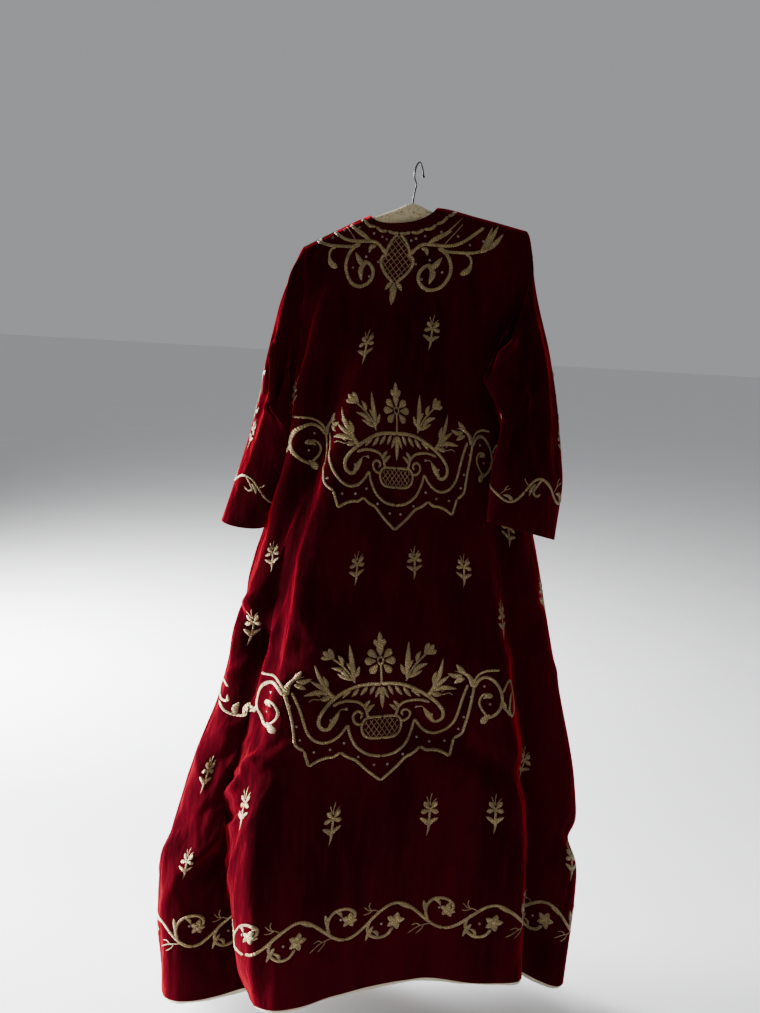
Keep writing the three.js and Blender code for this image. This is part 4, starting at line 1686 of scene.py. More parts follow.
@dataclass(frozen=True)
class Lattice:
    """A diamond lattice of thin cords inside a shape given by its half widths.

    Each key is (down, half width). Both families of cords lean by the same slope.
    """

    WIDTH: ClassVar[float] = 1.25
    SPACING: ClassVar[float] = 1.6  # down the axis, for each unit of pitch and slope
    SAMPLES: ClassVar[int] = 90

    keys: tuple[Pair, ...]
    pitch: float
    slope: float

    def lines(self) -> tuple[Line, ...]:
        """The cords, each cut where it leaves the shape.

        Returns:
            The cords.
        """
        down, half = np.array(self.keys).T
        reach = (down[-1] - down[0]) / 2 + self.slope * half.max()
        middle = (down[0] + down[-1]) / 2
        x = np.linspace(-half.max(), half.max(), self.SAMPLES)
        made = []
        for side in (-1, 1):
            for start in np.arange(-reach, reach, self.pitch * self.slope * self.SPACING):
                y = middle + start + side * self.slope * x
                inside = np.flatnonzero(np.abs(x) < np.interp(y, down, half, left=0, right=0))
                if len(inside) > 3:
                    first, last = inside[0], inside[-1]
                    centre = ((x[first] + x[last]) / 2, (y[first] + y[last]) / 2)
                    made.append(cord(self.WIDTH, (x[first], y[first]), centre, (x[last], y[last])))
        return tuple(made)


@dataclass(frozen=True)
class Motif:
    """Lines and sequins of one figure; those of a half are sewn on both sides of the axis."""

    whole: tuple[Line, ...] = ()
    half: tuple[Line, ...] = ()
    sequins: tuple[Pair, ...] = ()
    half_sequins: tuple[Pair, ...] = ()

    def all_lines(self) -> tuple[Line, ...]:
        """Every line, with the halves doubled."""
        return self.whole + self.half + tuple(line.mirrored() for line in self.half)

    def all_sequins(self) -> tuple[Pair, ...]:
        """Every sequin, with the halves doubled."""
        return self.sequins + self.half_sequins + tuple((-x, y) for x, y in self.half_sequins)


@dataclass(frozen=True)
class Patch:
    """Where a figure is sewn, how far it leans (degrees), and how large it is.

    Its left half can be wider, and what lies more than FAR millimetres to the left wider again.
    """

    FAR: ClassVar[float] = 165.0

    u: float
    v: float
    lean: float = 0.0
    wide: float = 1.0
    tall: float = 1.0
    left: float = 1.0
    far: float = 1.0

    def turned(self, places: Array) -> Array:
        """Places scaled, then leaned so that their right side rises.

        Args:
            places: (..., 2) places of the figure.

        Returns:
            (..., 2) places on the cloth.
        """
        x = places[..., 0] + (self.far - 1) * np.minimum(places[..., 0] + self.FAR, 0)
        x = x * np.where(x < 0, self.wide * self.left, self.wide)
        y = places[..., 1] * self.tall
        turn = math.radians(self.lean)
        cos, sin = math.cos(turn), math.sin(turn)
        return np.stack([x * cos + y * sin, y * cos - x * sin], axis=-1)


class Embroidery:
    """Figures couched on one surface; their lines become one mesh and their sequins another.

    Each line is a low rounded band. Its cross-section has five places over the cloth and two
    sunk in it, and every place is laid on the creased surface by itself.
    """

    STEP = 2.9
    RELIEF = 1.15
    FULL_WIDTH = 5.0  # lines this wide or wider have the whole relief
    SUNK = 0.4
    LOWEST = 2.5  # below this level nothing is sewn past an edge
    ACROSS = np.array([-1.0, -0.72, 0.0, 0.72, 1.0, 0.6, -0.6])
    RISE = np.array([0.05, 0.75, 1.0, 0.75, 0.05])

    def __init__(self, surface: Surface, plumb: bool) -> None:
        """Starts with nothing sewn.

        Args:
            surface: The cloth's mid-wall form.
            plumb: Whether down is measured by height instead of down the cloth.
        """
        self.surface = surface
        self.plumb = plumb
        self.bands: list[tuple[Patch, Array, Array, Array]] = []
        self.spots: list[tuple[Patch, Array]] = []

    def sew(self, motif: Motif, patch: Patch) -> None:
        """Adds a figure's lines and sequins at a patch.

        Args:
            motif: The figure.
            patch: Where it goes.
        """
        for line in motif.all_lines():
            self.bands.append((patch, *self.band(line)))
        if motif.all_sequins():
            self.spots.append((patch, np.array(motif.all_sequins(), float)))

    def band(self, line: Line) -> tuple[Array, Array, Array]:
        """A line laid flat, with its relief and its texture places.

        Args:
            line: The line.

        Returns:
            Places (rows, 7, 2), heights (rows, 7) and texture places (rows, 7, 2).
        """
        path = smooth_line(np.array(line.places, float), self.STEP)
        run = running(path)
        widths = line.stroke.widths(run / run[-1], run[-1], line.width)
        ahead = unit(np.gradient(path, axis=0))
        side = np.stack([-ahead[:, 1], ahead[:, 0]], axis=-1)
        places = path[:, None] + side[:, None] * (self.ACROSS[None, :, None] * widths[:, None, None] / 2)
        relief = self.RELIEF * np.clip(widths / self.FULL_WIDTH, 0.35, 1.0)
        heights = np.concatenate([relief[:, None] * self.RISE, np.full((len(path), 2), -self.SUNK)], axis=1)
        across = self.ACROSS[None, :] * widths[:, None] / 2
        return places, heights, np.stack([np.broadcast_to(run[:, None], across.shape), across], axis=-1)

    def spread(self, patch: Patch, places: Array) -> tuple[Array, Array]:
        """The surface's own u and v of flat places about a patch.

        Args:
            patch: Where the figure is sewn.
            places: (..., 2) places of the figure.

        Returns:
            u and v.
        """
        right, down = np.moveaxis(patch.turned(places), -1, 0)
        v = np.clip(patch.v + down, *self.surface.V_SPAN)
        u = self.surface.around(self.surface.arc(patch.u, v) + right, v)
        if self.plumb:
            height = self.surface.plain(np.array(patch.u), np.array(patch.v))[2] - down
            for _ in range(3):
                v = np.maximum(self.surface.level_at(u, height), self.surface.first_level(u) + self.LOWEST)
                u = self.surface.around(self.surface.arc(patch.u, v) + right, v)
        return u, v

    def spread_all(self, sewn: Iterable[tuple[Patch, Array]]) -> tuple[Array, Array]:
        """The surface's own u and v of everything sewn, in one array each."""
        pairs = [self.spread(patch, places) for patch, places in sewn]
        return tuple(np.concatenate(part) for part in zip(*pairs))

    def build(self, name: str) -> Piece:
        """All the lines as one mesh, laid on the surface in one go.

        Args:
            name: The piece's name.

        Returns:
            The joined thread.
        """
        sizes = [places.shape[0] for _, places, _, _ in self.bands]
        u, v = self.spread_all((patch, places) for patch, places, _, _ in self.bands)
        heights = np.concatenate([heights for _, _, heights, _ in self.bands])
        normals = self.surface.normal(u, v)
        laid = self.surface.point(u, v) + normals * (VELVET_WALL / 2 + heights)[..., None]
        batch = RingBatch()
        ends = np.cumsum(sizes)
        for (_, _, _, uv), start, end in zip(self.bands, ends - sizes, ends):
            batch.add(laid[start:end], uv)
        return batch.build(name)

    def sequin_places(self) -> tuple[Array, Array]:
        """Places and outward directions of every sequin."""
        u, v = self.spread_all(self.spots)
        return self.surface.point(u, v), self.surface.normal(u, v)


@dataclass(frozen=True)
class SequinRings:
    """Small cupped sequins, each a ring with a bead at its centre."""

    radius: float = 1.65
    tube: float = 0.55
    around: int = 14
    section: int = 6
    lift: float = 0.5

    def build(self, places: Array, normals: Array) -> Piece:
        """All the rings and beads as one mesh.

        Args:
            places: (n, 3) mid-wall places on the cloth.
            normals: (n, 3) outward directions there.

        Returns:
            The new object.
        """
        turn = 2 * np.pi * np.arange(self.around)[:, None] / self.around
        tilt = 2 * np.pi * np.arange(self.section)[None, :] / self.section
        reach = self.radius + self.tube * np.cos(tilt)
        ring = np.broadcast_arrays(reach * np.cos(turn), reach * np.sin(turn), self.tube * np.sin(tilt))
        ring = np.stack(ring, axis=-1)
        belt = 2 * np.pi * np.arange(6) / 6
        bead = [(0, 0, 1.25), *((0.9 * math.cos(a), 0.9 * math.sin(a), 0.45) for a in belt), (0, 0, -0.2)]
        points = np.concatenate([ring.reshape(-1, 3), bead])
        first = self.around * self.section
        a, b = first + 1 + np.arange(6), first + 1 + (np.arange(6) + 1) % 6
        tops, bottoms = np.full(6, first), np.full(6, first + 7)
        fans = np.stack([tops, a, b, b], axis=-1), np.stack([bottoms, b, a, a], axis=-1)
        quads = np.concatenate([grid_faces(self.around, self.section, True, True), *fans])
        helper = np.where(np.abs(normals[:, 2:]) < 0.9, [[0.0, 0.0, 1.0]], [[1.0, 0.0, 0.0]])
        side = unit(np.cross(helper, normals))
        other = np.cross(normals, side)
        frames = np.stack([side, other, normals], axis=1)
        seats = places + normals * (VELVET_WALL / 2 + self.lift)
        vertices = np.einsum("pk,nkd->npd", points, frames) + seats[:, None]
        all_quads = quads[None] + (np.arange(len(places)) * len(points))[:, None, None]
        return Mesh.build("sequins", vertices.reshape(-1, 3), all_quads.reshape(-1, 4))


BASKET = Lattice(((62, 6), (66, 27), (74, 32), (88, 30), (94, 23), (97, 4)), 6.0, 1.25)
MEDALLION = Lattice(
    ((2, 1), (9, 8), (18, 14), (34, 20), (43, 26), (54, 27), (67, 20), (79, 10), (87, 1)), 6.6, 1.15
)

CARTOUCHE = Motif(
    whole=(
        cord(4, (0, -36), (0.5, -18), (0, 0)), leaf(10.5, (0, -64), (0.5, -78), (0, -92)),
        petal(8.5, (-1, -64), (-6, -70), (-9, -79)), petal(8.5, (1, -64), (6, -70), (9, -79)),
        cord(3.5, (-5, -41), (-3.5, -46), (3.5, -46), (5, -41), (2.5, -36), (-2.5, -36), (-5, -41)),
        leaf(9, (0, 4), (0.5, 26), (0, 48)),
        *flower((0, -41), (8, 28), 13.5, 0, 42, 90, 138, 180, 228, 312), *BASKET.lines(),
        cord(4.5, (219, 26), (232, 12), (246, 14), (254, 28), (256, 48), (250, 66), (240, 72), (233, 60),
            (236, 46)),
        cord(4, (214, 44), (226, 58), (236, 70)), leaf(7, (234, 50), (240, 38), (249, 34)),
        cord(4.5, (-216, 36), (-226, 50), (-244, 60), (-262, 62), (-276, 54), (-283, 40)),
        leaf(8, (-244, 60), (-236, 50), (-226, 46)), leaf(8, (-252, 61), (-248, 48), (-240, 40)),
        leaf(8, (-262, 62), (-262, 50), (-256, 40)),
        cord(4.5, (-264, 14), (-272, 4), (-281, 8), (-284, 22), (-279, 36), (-270, 38), (-268, 28)),
    ),
    half=(
        cord(6.5, (0, 0), (22, 0), (44, 4), (76, 20), (100, 38), (112, 56), (110, 70), (100, 76), (89, 72)),
        leaf(10.5, (96, 76), (86, 62), (76, 46)),
        cord(5, (88, 37), (72, 32), (56, 32), (40, 36), (30, 46), (27, 56), (24, 64)),
        leaf(7, (27, 54), (22, 46), (13, 40)), leaf(7, (30, 48), (28, 40), (21, 32)),
        leaf(7, (12, 3), (17, 12), (21, 21)), leaf(7.5, (25, 4), (31, 13), (38, 22)),
        leaf(7.5, (40, 7), (46, 16), (54, 25)), leaf(7, (3, 5), (7, 16), (12, 27)),
        leaf(7, (54, 13), (62, 17), (70, 26)),
        cord(4.5, (0, 62), (16, 62), (30, 64), (36, 74), (33, 88), (24, 95), (0, 97)),
        cord(4.5, (33, 70), (41, 72), (50, 66), (52, 56), (44, 50), (36, 55), (39, 63)),
        leaf(10, (46, -8), (50, -40), (53, -72)), leaf(7.5, (46, -14), (41, -22), (37, -34)),
        leaf(7.5, (48, -24), (54, -34), (60, -40)), cord(3.5, (45, -3), (58, -26), (72, -40), (84, -50)),
        petal(8.5, (82, -50), (90, -56), (99, -64)), petal(8.5, (83, -49), (92, -51), (103, -53)),
        petal(8.5, (80, -50), (84, -58), (90, -68)), leaf(8, (66, -36), (68, -46), (74, -54)),
        leaf(8.5, (56, -16), (70, -28), (86, -33)), leaf(7.5, (49, -9), (60, -14), (76, -21)),
        leaf(8.5, (90, 16), (105, -9), (114, -40)), leaf(8.5, (91, 15), (108, 2), (124, -9)),
        leaf(8.5, (91, 17), (112, 12), (137, 15)), leaf(7.5, (95, 6), (96, -6), (101, -18)),
        leaf(7.5, (90, 19), (98, 24), (108, 26)), tail(10, (84, 27), (91, 16), (100, 2)),
        twig((98, 18), (110, 24), (122, 22), (130, 26)), twig((108, 20), (116, 15), (126, 16)),
        twig((60, 47), (72, 44), (80, 50)), tail(11, (167, 13), (161, -4), (150, -13), (134, -17)),
        leaf(10.5, (154, -10), (146, -18), (137, -29)), leaf(9, (148, -9), (135, -8), (121, -13)),
        leaf(9, (152, -3), (143, -1), (132, 5)),
        cord(5, (157, 8), (150, 24), (142, 47), (137, 64), (132, 77), (120, 92), (104, 99), (92, 98),
            (83, 94), (72, 85), (61, 70)),
        cord(5, (61, 70), (57, 86), (50, 101), (44, 110), (36, 117), (22, 125), (0, 129)),
        cord(5, (168, 10), (164, 32), (158, 58), (154, 80), (150, 98), (143, 105), (135, 110)),
        cord(5, (135, 110), (131, 124), (126, 139)),
        cord(5, (126, 139), (110, 130), (96, 126), (84, 125), (72, 118)),
        cord(5, (72, 118), (58, 128), (46, 133), (36, 142), (28, 150), (14, 162), (0, 173)),
        cord(4, (166, 8), (176, -8), (190, -15), (214, -14)),
        cord(5.5, (168, 14), (178, 0), (190, -4), (206, 6), (217, 28), (217, 48), (206, 63), (192, 69)),
        petal(13, (196, 62), (188, 70), (182, 78)),
        cord(4, (192, 66), (181, 52), (177, 40), (182, 28), (192, 25)),
        petal(10, (184, 34), (192, 29), (201, 31)), cord(4.5, (217, 40), (222, 46), (226, 54)),
    ),
    half_sequins=(
        (162, 30), (150, 66), (143, 90), (118, 114), (90, 112), (66, 102), (40, 128), (12, 144), (92, 60),
        (196, 44), (186, 12), (24, 36), (64, 44),
    ),
)

RIBBON_HALVES = (
    (
        cord(5.5, (0, 0), (10, 0.5), (21, -3)),
        cord(5.5, (21, -3), (32, -2), (43, -9)),
        cord(5.5, (43, -9), (55, -10), (65, -19)),
    ),
    (cord(5.5, (65, -19), (76, -24), (84, -34)), cord(5.5, (84, -34), (92, -37), (99, -46))),
)
YOKE = Motif(
    whole=(
        *RIBBON_HALVES[0], *RIBBON_HALVES[1], *(line.mirrored() for line in RIBBON_HALVES[0]),
        cord(5.5, (-65, -19), (-76, -23), (-86, -28)), petal(13.5, (0, 86), (0, 96), (0, 106)),
        leaf(12, (0, 90), (0.5, 106), (0, 126)), *MEDALLION.lines(),
    ),
    half=(
        cord(5, (2, 2), (9, 9), (15, 18), (21, 34), (22, 40)),
        cord(5.5, (20, 38), (27, 42), (29, 52), (22, 67), (11, 79), (2, 87)),
        leaf(8, (4, 86), (10, 92), (15, 100)), leaf(5.5, (18, 40), (23, 35), (25, 27)),
        cord(6, (24, 36), (31, 26), (42, 18), (56, 17), (80, 18), (98, 16), (114, 9), (127, 0), (140, -10),
            (150, -18)),
        leaf(9, (50, 17), (66, 6), (93, -9)), twig((80, 16), (92, 2), (104, -12), (112, -22)),
        tail(5.5, (62, 10), (84, -6), (112, -34)),
        cord(5.5, (72, 21), (85, 27), (110, 28), (133, 27), (146, 24), (158, 21)),
        leaf(9, (150, 22), (162, 4), (176, -22)), leaf(9, (154, 22), (170, 10), (186, -9)),
        leaf(7.5, (146, 24), (156, 6), (166, -20)), cord(4.5, (114, 26), (129, 36), (132, 48)),
        petal(11, (132, 42), (128, 57), (114, 66)),
        cord(6.5, (70, 22), (84, 30), (93, 43), (97, 59), (93, 76), (83, 90), (66, 96), (51, 91), (42, 78),
            (43, 65), (52, 55), (62, 52)),
        leaf(10.5, (56, 58), (67, 54), (79, 38)), leaf(11, (58, 56), (66, 66), (62, 86)),
        leaf(8, (40, 24), (50, 27), (53, 37)),
    ),
    half_sequins=(
        (30, 8), (46, 3), (22, 12), (74, -6), (126, 14), (150, 6), (58, 44), (48, 78), (82, 64), (34, 52),
        (88, 34), (104, 0),
    ),
)

SPRIG = Motif(
    whole=(
        cord(4, (0, 2), (0.5, 12), (0, 24)), tail(6.5, (0, 22), (1, 32), (-1, 46)),
        cord(1.5, (0, -5), (-1, -14), (1, -27)), cord(1.5, (-1, -6), (-5, -14), (-8, -22)),
        cord(1.5, (1, -6), (5, -12), (10, -18)),
    ),
    half=(
        petal(8, (0, 1), (6, -5), (11, -12)), petal(8.5, (0, 2), (8, 4), (15, 6)),
        leaf(7, (0, 23), (7, 20), (16, 15)), leaf(4.5, (0, 27), (5, 24), (8, 19)),
    ),
)

VINE_PERIOD = 173.0
VINE = Motif(
    whole=(
        *wavy(5.5, VINE_PERIOD, [-27 * math.cos(2 * math.pi * t) for t in np.linspace(-0.5, 0.5, 15)]),
        cord(5.5, (-36, -8), (-45, 2), (-48, 16), (-42, 29), (-28, 36), (-13, 33), (-3, 20)),
        *star(11, (0, 8), (16, -3), (4, -17), (-14, -10), (-13, 9), (5, 16)),
        leaf(7.5, (-38, 12), (-45, 24), (-50, 38)), leaf(8, (2, -27), (13, -22), (26, -13)),
        leaf(6, (-28, 34), (-32, 25), (-41, 22)),
        cord(5.5, (58, 12), (53, -3), (55, -17), (63, -27), (76, -31), (90, -29), (100, -20), (100, -10)),
        *star(9.5, (91, -9), (14, 3), (2, -14), (-13, -6), (-9, 11), (7, 13)),
        leaf(7.5, (54, -2), (51, -13), (47, -27)), leaf(6, (66, -28), (74, -24), (78, -16)),
        twig((66, 20), (54, 21), (40, 24), (24, 34)), twig((46, 23), (38, 17), (29, 19)),
        twig((52, 22), (47, 30), (38, 37)), twig((-30, -14), (-38, -18), (-48, -19), (-57, -27)),
        twig((-44, -19), (-48, -25), (-47, -34)), twig((-40, -18), (-50, -13), (-58, -13)),
    ),
    sequins=((-24, 10), (76, -12)),
)

CUFF_PERIOD = 100.0
CUFF_VINE = Motif(
    whole=(
        *wavy(4.5, CUFF_PERIOD, [-20 * math.sin(2 * math.pi * t) for t in np.linspace(-0.5, 0.5, 11)]),
        leaf(7, (-30, 18), (-22, 8), (-12, 6)), cord(4, (18, -18), (28, -8), (34, 2), (28, 9), (21, 5)),
        leaf(6, (30, -12), (38, -4), (42, 8)), twig((-8, 4), (-16, -4), (-26, -8)),
        twig((-15, -3), (-17, -10), (-22, -15)), twig((42, -10), (48, -18), (50, -26)),
    ),
)

SCROLL_COLUMN = Motif(
    whole=(
        cord(5, (0, -62), (14, -52), (16, -36), (4, -24), (-10, -10), (-14, 8), (-2, 22), (12, 34),
            (12, 50), (0, 60)),
        cord(4.5, (2, -24), (-8, -32), (-10, -44), (-2, -50), (4, -44)),
        cord(4.5, (-12, 0), (2, 0), (10, 10), (4, 18), (-3, 13)), leaf(9, (0, 58), (-8, 70), (-6, 84)),
        leaf(9, (-2, -60), (-8, -72), (-4, -86)), leaf(7, (14, -48), (24, -54), (27, -64)),
        leaf(7, (13, 40), (22, 34), (26, 22)), leaf(7, (-14, 4), (-22, 12), (-22, 24)),
        twig((10, -28), (20, -22), (26, -10)), twig((-6, 18), (-16, 30), (-18, 42)),
    ),
    sequins=((-2, -40), (2, 9)),
)

SPRIG_PATCHES = rows(
    Patch,
    (-18, 227, -2, 0.85, 0.83), (15.5, 212, 2, 0.92, 0.87), (-67, 262, 4), (-61.5, 556, 6, 0.85, 0.8),
    (-15, 610, 0, 0.88, 0.83), (6.5, 617, 1, 0.88, 0.82), (25.5, 626, -2, 0.88, 0.85),
    (52.5, 547, -4, 0.9, 0.87), (-67.5, 685, 2), (41.5, 712, -3), (-66, 960, 2, 0.6),
    (-40, 1011, 2, 1.0, 1.12), (-12, 1063, 2, 1.05, 1.12), (15, 1070, 0, 1.05, 1.12),
    (33.5, 1060, 0, 1.0, 1.04), (49.5, 988, -3), (-62.5, 1128, 2, 0.6, 0.85), (78, 640), (88, 960, 2),
    (72, 1140), (-96, 1040, -3), (-112, 700, 4), (-148, 980, -2), (150, 1010, 3), (112, 720, -4),
    (-160, 560, 2), (158, 590, -2), (180, 1060), (-165, 240), (162, 250, 2), (-116, 330, 3), (118, 350, -2),
    (122, 1150), (-122, 1160, 2),
)


class RobeEmbroidery:
    """All the gold thread and sequins of the robe and its sleeves."""

    VINE_LEVEL = 1272.0
    CUFF_RISE = 68.0
    COLUMN_TURN = {-1: 8.0, 1: -26.0}  # the right sleeve is turned further out

    def __init__(self, robe: RobeForm, sleeves: Sequence[SleeveForm]) -> None:
        """Keeps the surfaces that are embroidered."""
        self.robe = robe
        self.sleeves = sleeves

    def ring_of(self, surface: Surface, v: float, period: float, start: float) -> list[Patch]:
        """Patches spaced evenly round a surface, with the figure stretched to fit a whole number.

        Args:
            surface: What it is sewn on.
            v: The place down it.
            period: The figure's own width.
            start: u of the first.

        Returns:
            The patches.
        """
        whole = float(np.interp(v, surface.v_keys, surface.round_length))
        count = round(whole / period)
        first = float(surface.arc(start, v))
        arcs = first + whole * np.arange(count) / count
        places = surface.around(arcs, np.full(count, v))
        return [Patch(float(u), v, wide=whole / count / period) for u in places]

    def sets(self) -> list[tuple[str, Embroidery]]:
        """Each joined piece's name and what is sewn in it.

        Returns:
            Names and embroideries, in the order they are built.
        """
        made = []
        for name, plumb, motif, patches in (
            ("yoke", True, YOKE, [Patch(-8.5, 44)]),
            ("upper_cartouche", True, CARTOUCHE, [Patch(-1, 396, -0.8, 0.8, 0.97, 1.02, 1.5)]),
            ("lower_cartouche", True, CARTOUCHE, [Patch(-3, 832, 6.0, 0.98, 1.0, 1.07, 1.5)]),
            ("sprigs", False, SPRIG, SPRIG_PATCHES),
            ("hem_vine", False, VINE, self.ring_of(self.robe, self.VINE_LEVEL, VINE_PERIOD, 8.5)),
        ):
            embroidery = Embroidery(self.robe, plumb)
            for patch in patches:
                embroidery.sew(motif, patch)
            made.append((f"embroidered_{name}", embroidery))
        for sleeve, name in zip(self.sleeves, ("embroidered_sleeve_left", "embroidered_sleeve_right")):
            cuff = Embroidery(sleeve, False)
            tall = 1.0 if sleeve.side > 0 else 0.65  # the left cuff's vine is flatter
            for patch in self.ring_of(sleeve, sleeve.SPAN - self.CUFF_RISE, CUFF_PERIOD, 60):
                cuff.sew(CUFF_VINE, replace(patch, tall=tall))
            column = self.COLUMN_TURN[sleeve.side]
            cuff.sew(SCROLL_COLUMN, Patch(column, 345, wide=0.9, tall=0.8))
            cuff.sew(SPRIG, Patch(column + 46, 398, wide=0.6, tall=0.75))
            cuff.sew(SPRIG, Patch(290, 300, wide=0.85, tall=0.85))
            made.append((name, cuff))
        return made

    def build(self, thread: Finish, pearl: Finish) -> None:
        """Builds and dresses the joined embroideries and the sequins.

        Args:
            thread: The finish of the lines.
            pearl: The finish of the sequins.
        """
        places, normals = [], []
        for name, embroidery in self.sets():
            Mesh.dress(embroidery.build(name), thread, "gold_thread")
            if embroidery.spots:
                where, facing = embroidery.sequin_places()
                places.append(where)
                normals.append(facing)
        sequins = SequinRings().build(np.concatenate(places), np.concatenate(normals))
        Mesh.dress(sequins, pearl, "gold_thread")


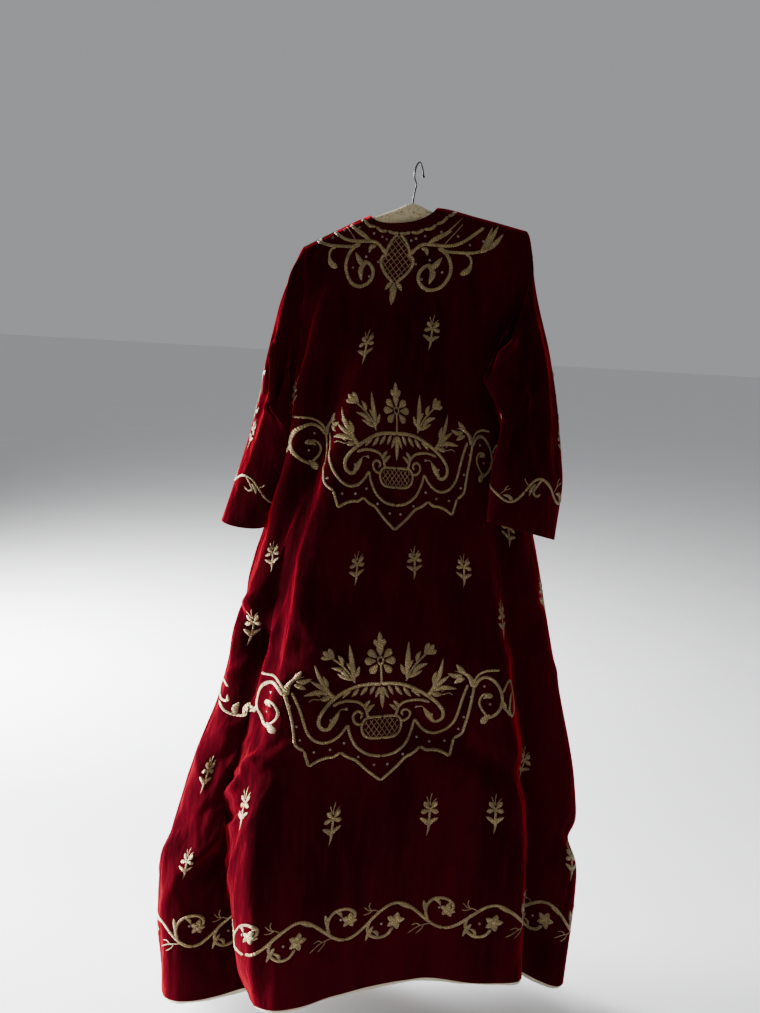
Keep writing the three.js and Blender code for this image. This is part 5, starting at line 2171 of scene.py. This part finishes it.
# Creases and ridges of the body; each ridge's places are (degrees, level, millimetres out).
ROBE_CREASES: Creases = (
    *rows(
        Ridge,
        (((-45, 72, 2), (-50, 116, 8), (-52.5, 200, 12), (-61.5, 256, 12), (-65, 428, 10), (-81, 500, 4)),
            18, 46, 1.2),
        (((-30, 90, -2), (-36, 190, -8), (-43, 300, -9), (-48, 440, -7)), 24, 20, 2.0, 90),
        (((-17, 144, 2), (-18.5, 188, 6), (-18, 256, 9), (-21, 304, 11), (-24.5, 340, 13), (-26.5, 372, 13),
            (-33, 432, 14), (-31.5, 480, 13), (-35.5, 532, 14), (-38, 576, 16), (-33.5, 688, 14),
            (-28, 736, 8)), 19, 66, 1.2, 80),
        (((-44, 560, -4), (-48, 640, -9), (-44, 740, -8)), 18, 16, 2.0, 80),
        (((-38.5, 780, 6), (-40, 868, 10)), 15, 40, 1.2),
        (((-44, 452, 4), (-47, 504, 10), (-58.5, 576, 11), (-65, 628, 9), (-82, 668, 5)), 16, 34, 1.15, 50),
        (((-36, 600, 3), (-36, 664, 7), (-37, 724, 7), (-40, 784, 4)), 9, 12, 1.2, 50),
        (((-44.5, 640, 3), (-49, 700, 6), (-54, 770, 4)), 9, 13, 1.2, 50),
        (((-80, 850, 3), (-73, 940, 8), (-65, 1000, 5)), 10, 16, 1.2),
        (((-45, 876, 4), (-44, 952, 8), (-55, 1064, 8), (-59, 1110, 4)), 9, 14, 1.2, 50),
        (((-37, 1000, 4), (-43, 1050, 6), (-55, 1092, 4)), 8, 12, 1.2, 40),
        (((-60, 910, -4), (-64, 950, -9), (-62, 1010, -6)), 12, 14, 2.0, 50),
        (((-30.5, 924, 5), (-36, 940, 6), (-42, 972, 3)), 8, 12, 1.2, 24),
        (((-82, 1050, 3), (-78, 1180, 7), (-79, 1330, 7)), 8, 14, 1.2, 80),
        (((-86, 1120, 2), (-84, 1240, 5), (-85, 1400, 6)), 7, 10, 1.3, 70),
        (((-36.5, 1120, 3), (-36, 1220, 6), (-35, 1320, 7), (-35, 1400, 7)), 7, 11, 1.2),
        (((-30, 1200, 3), (-29, 1300, 5), (-28.5, 1400, 5)), 7, 11, 1.2),
        (((-24, 1130, 2), (-22, 1190, 4), (-20, 1240, 2)), 7, 12, 1.2, 50),
        (((-34, 960, 4), (-34, 1052, 9), (-33.5, 1120, 9), (-32, 1208, 8), (-32, 1364, 8)), 26, 44, 1.4,
            70),
        (((-36, 892, 4), (-42.5, 952, 9), (-49.5, 1020, 11), (-56.5, 1084, 11), (-61.5, 1136, 8),
            (-65.5, 1192, 4)), 30, 15, 1.3, 70),
        (((-32, 980, 3), (-37, 1060, 6), (-41, 1140, 7), (-47, 1240, 5)), 12, 10, 1.2),
        (((-46, 888, 3), (-59.5, 956, 6), (-63.5, 1024, 7), (-66, 1080, 4)), 11, 9, 1.2, 50),
        (((-43, 960, -1), (-44, 1080, -3), (-43, 1180, -4), (-42, 1330, -5)), 20, 16, 2.0, 80),
        (((-87.5, 528, 4), (-82.5, 676, 9), (-74, 760, 6)), 14, 26, 1.3),
        (((-56, 800, 4), (-58, 900, 15), (-58, 1020, 17), (-57, 1130, 11), (-56, 1230, 3)), 48, 24, 2.0,
            110),
        (((-66, 860, 3), (-63, 940, 8), (-60, 1040, 8), (-62, 1150, 4)), 12, 18, 1.3),
        (((-78, 900, 3), (-74, 1010, 7), (-72, 1160, 8), (-74, 1330, 5)), 14, 22, 1.3, 80),
        (((35.5, 256, 2), (37.5, 416, 5), (30, 596, 3)), 22, 18, 1.8, 90),
        (((20, 120, 2), (14, 260, 4), (16, 380, 3)), 26, 26, 2.0, 90),
        (((4, 500, -2), (7, 600, -4), (5, 740, -3)), 30, 26, 2.0, 90),
        (((39, 1140, 3), (43, 1356, 6)), 16, 12, 1.4, 80),
        (((47, 1180, -4), (48, 1260, -9), (49.5, 1400, -12)), 12, 14, 1.6, 80),
        (((10, 1130, 2), (13, 1280, 5), (14, 1400, 6)), 28, 24, 2.0, 90),
        (((-8, 1100, -2), (-9, 1250, -5), (-8, 1400, -6)), 26, 24, 2.0, 90),
        (((-20, 1160, 2), (-22, 1300, 5), (-22, 1400, 5)), 18, 18, 1.8, 90),
    ),
    *rows(
        Crease,
        (-24, 905, -46, 935, 8, 8, 18, 6, 0.3), (-33, 868, -52, 850, -7, 9, 13, -5),
        (-52, 830, -72, 900, 7, 9, 18, 5, 0.3), (-44, 960, -68, 1060, 7, 9, 18, 8, 0.3),
        (-38, 1000, -60, 1130, 6, 9, 16, 10, 0.3), (-60, 740, -78, 800, 6, 9, 16, 4, 0.3),
        (-68, 1080, -84, 1200, 6, 10, 16, 6, 0.3), (-20, 742, -36, 770, 6, 10, 18, 4, 0.3),
        (-36, 1010, -58, 1060, -5, 12, 16, 8), (-37, 905, -56, 985, 5.5, 7, 13, 6, 0.3),
        (-40, 930, -64, 1040, -5, 8, 11, 5, 0.3), (-38, 960, -58, 1078, 5, 7, 13, 9, 0.3),
        (-48, 1040, -70, 1160, 5.5, 8, 13, 8, 0.3), (-52, 1006, -75, 1100, -5, 8, 12, -6, 0.3),
        (-43, 1090, -60, 1205, 4.5, 8, 13, 8, 0.3), (-62, 1130, -72, 1290, 4, 8, 12, -6),
        (-10, 700, 18, 716, 2.5, 22, 30, 6, 0.4), (4, 940, 30, 920, -2.5, 20, 28, -8, 0.4),
        (-56, 620, -84, 660, 5, 12, 18, 6), (58, 700, 84, 640, -5, 16, 22, -6),
    ),
    # The hidden sides and the back.
    *rows(
        Ridge,
        (((120, 60, 3), (128, 200, 7), (134, 380, 8), (128, 520, 4)), 20, 26, 1.5, 80),
        (((-118, 70, 3), (-126, 220, 8), (-138, 420, 8), (-146, 640, 5)), 24, 18, 1.5, 80),
        (((150, 320, 2), (158, 480, 6), (162, 700, 7), (156, 860, 4)), 20, 28, 1.6, 90),
        (((-160, 240, -3), (-166, 420, -7), (-162, 640, -6)), 26, 24, 2.0, 90),
        (((176, 140, 2), (180, 320, 5), (176, 540, 3)), 26, 26, 1.8, 90),
        (((104, 620, 3), (100, 820, 8), (97, 1040, 9), (94, 1300, 6)), 18, 22, 1.4, 80),
        (((-104, 600, 3), (-108, 780, 8), (-112, 1000, 8), (-110, 1240, 5)), 20, 18, 1.4, 80),
        (((136, 900, 3), (140, 1080, 8), (142, 1260, 9), (141, 1400, 9)), 18, 22, 1.5, 90),
        (((-140, 860, 3), (-137, 1080, 8), (-135, 1400, 9)), 22, 20, 1.5, 90),
        (((170, 980, -3), (172, 1180, -8), (171, 1400, -9)), 24, 22, 1.9, 90),
        (((-172, 1040, 2), (-170, 1220, 7), (-168, 1400, 8)), 22, 20, 1.7, 90),
    ),
    *rows(
        Crease,
        (118, 560, 146, 600, 5, 12, 18, 6), (-120, 560, -150, 590, -5, 14, 18, -6),
        (166, 780, -170, 800, 4, 16, 22, 10, 0.4),
    ),
)

# Creases of the sleeves in turns and millimetres down; they gather inside the elbow.
LEFT_SLEEVE_CREASES: Creases = (
    *rows(
        Ridge,
        (((24, 60, 3), (30, 180, 6), (36, 320, 5)), 14, 18, 1.4),
        (((70, 120, -3), (74, 240, -6), (66, 380, -4)), 18, 16, 2.0, 80),
        (((95, 220, 3), (84, 360, 6), (78, 500, 4)), 14, 16, 1.5, 70),
    ),
    *rows(
        Crease,
        (120, 120, 60, 190, 5, 9, 14, 6), (140, 210, 74, 250, -5, 12, 12, -5),
        (130, 300, 60, 330, 4, 9, 14, 5), (240, 120, 300, 180, 5, 10, 15, 6),
        (230, 260, 310, 300, -5, 12, 14, 6),
    ),
)
RIGHT_SLEEVE_CREASES: Creases = (
    *rows(
        Ridge,
        (((40, 90, 3), (52, 200, 7), (60, 330, 8), (66, 500, 5)), 14, 20, 1.3),
        (((84, 150, -4), (90, 260, -7), (92, 420, -5)), 16, 14, 2.0, 70),
        (((22, 220, 2), (26, 360, 5), (24, 480, 3)), 12, 14, 1.5),
    ),
    *rows(
        Crease,
        (160, 100, 80, 170, 10, 12, 20, 6, 0.3), (150, 190, 90, 215, -5, 12, 12, 5),
        (140, 280, 70, 300, 4, 10, 14, -5), (250, 100, 300, 190, 5, 10, 15, 6),
        (225, 240, 300, 290, -5, 12, 14, 6), (240, 380, 320, 400, 4, 12, 14, 6),
    ),
)


def main() -> None:
    """Builds the robe, its hanger and the studio."""
    logging.basicConfig(level=logging.INFO, format="%(message)s")
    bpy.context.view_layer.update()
    Studio().build()
    Floor().build()
    velvet = Velvet().material()
    robe = RobeForm(ROBE_CREASES)
    body = RobeBody(robe)
    body.build_panels(velvet)
    body.build_lining(Cotton().material())
    left = SleeveForm(robe, SLEEVE_LEFT, -1, LEFT_SLEEVE_CREASES)
    right = SleeveForm(robe, SLEEVE_RIGHT, 1, RIGHT_SLEEVE_CREASES)
    SleevePiece(left, "sleeve_left").build(velvet)
    SleevePiece(right, "sleeve_right").build(velvet)
    RobeEmbroidery(robe, (left, right)).build(GoldThread().material(), Sequin().material())
    hanger = Hanger()
    hanger.build_body(Brocade().material())
    hanger.build_hook(Steel().material())


if __name__ == "__main__":
    main()
